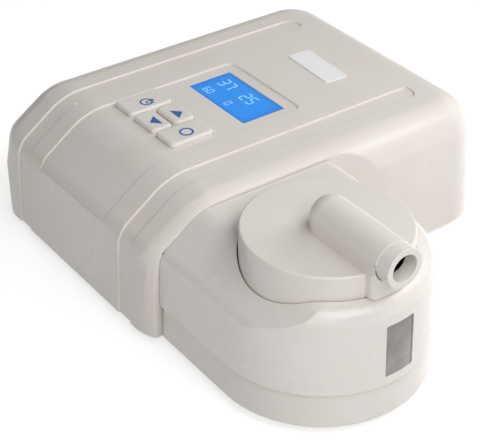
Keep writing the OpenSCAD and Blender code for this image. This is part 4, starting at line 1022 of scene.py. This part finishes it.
# %% [markdown]
# The unit stands on white paper in soft light. Two wide lamps over the right side and behind are the
# brightest, so the faces that look right and up are pale and the front is a little grey. The lamp behind
# gives no glare, which would wash out the back corner. A small lamp draws the highlights along the edges.
# What the camera sees of the paper is lifted to white by a little light of its own, which other rays ignore,
# so the object is not lit by it and still casts its shadow.
# %% Floor
PAPER_LIFT, SKY_LIGHT = 0.66, 0.18
bpy.ops.object.select_all(action="DESELECT")
bpy.ops.mesh.primitive_plane_add(size=8, location=(0, 0, 0))
ground = bpy.context.object
ground.name = "paper_floor"
paper = bpy.data.materials.new("paper")
paper.use_nodes = True
tree = paper.node_tree
tree.nodes.clear()
path = node(tree, "LightPath")
direct = math_node(tree, "MAXIMUM", path.outputs["Is Camera Ray"], path.outputs["Is Glossy Ray"])
seen = math_node(tree, "MAXIMUM", direct, path.outputs["Is Transmission Ray"])
fibre = spread(tree, noise(tree, node(tree, "TexCoord").outputs["Object"], 60.0, 4.0), 0.3, 0.7)
grey = blend_colour(tree, fibre, screen(201, 201, 200), screen(205, 205, 204))
sheet = node(tree, "BsdfDiffuse", Color=grey)
lift = node(tree, "Emission", Color=(1, 1, 1, 1), Strength=times(tree, seen, PAPER_LIFT))
both = node(tree, "AddShader", i0=sheet.outputs[0], i1=lift.outputs[0])
node(tree, "OutputMaterial", Surface=both.outputs[0])
ground.data.materials.append(paper)
ground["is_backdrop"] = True

# %% Light
world = bpy.data.worlds.new("studio")
bpy.context.scene.world = world
world.use_nodes = True
tree = world.node_tree
tree.nodes.clear()
path = node(tree, "LightPath")
seen = math_node(tree, "MAXIMUM", path.outputs["Is Camera Ray"], path.outputs["Is Transmission Ray"])
strength = spread(tree, seen, 0, 1, SKY_LIGHT, 1.0)
sky = node(tree, "Background", Color=(1, 1, 1, 1), Strength=strength)
node(tree, "OutputWorld", Surface=sky.outputs[0])
AIM = Vector((0.03, 0, 0.04))
LAMPS = {"front_lamp": ((0.322, -1.089, 0.450), 0.8, 0.9),  # place and size in metres, power in watts
         "camera_lamp": ((0.894, -0.725, 0.450), 0.8, 2.6),
         "right_lamp": ((0.790, -0.134, 0.959), 0.8, 6.0),
         "back_lamp": ((0.03, 1.128, 0.450), 0.8, 9.0),
         "near_lamp": ((0.25, 0.25, 0.5), 0.3, 0.78)}
for name, (place, size, power) in LAMPS.items():
    data = bpy.data.lights.new(name, "AREA")
    data.shape = "RECTANGLE"
    data.size, data.size_y = size, size
    data.energy = power
    lamp = bpy.data.objects.new(name, data)
    bpy.context.scene.collection.objects.link(lamp)
    lamp.location = place
    lamp.rotation_mode = "QUATERNION"
    lamp.rotation_quaternion = (Vector(place) - AIM).to_track_quat("Z", "Y")
    lamp.visible_glossy = name != "back_lamp"
bpy.context.scene.view_settings.view_transform = "Standard"

# %% [markdown]
# The last cell works out the box of the solid model and of this dressed model, so that the two can be
# compared, and prints the second.
# %% Size of the solid and the dressed model
sizes = {"cad": [list(cad_low), list(cad_high)], "visual": [list(corner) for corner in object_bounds()]}
print("sizes in mm:", [[round(v / MM, 1) for v in corner] for corner in sizes["visual"]])
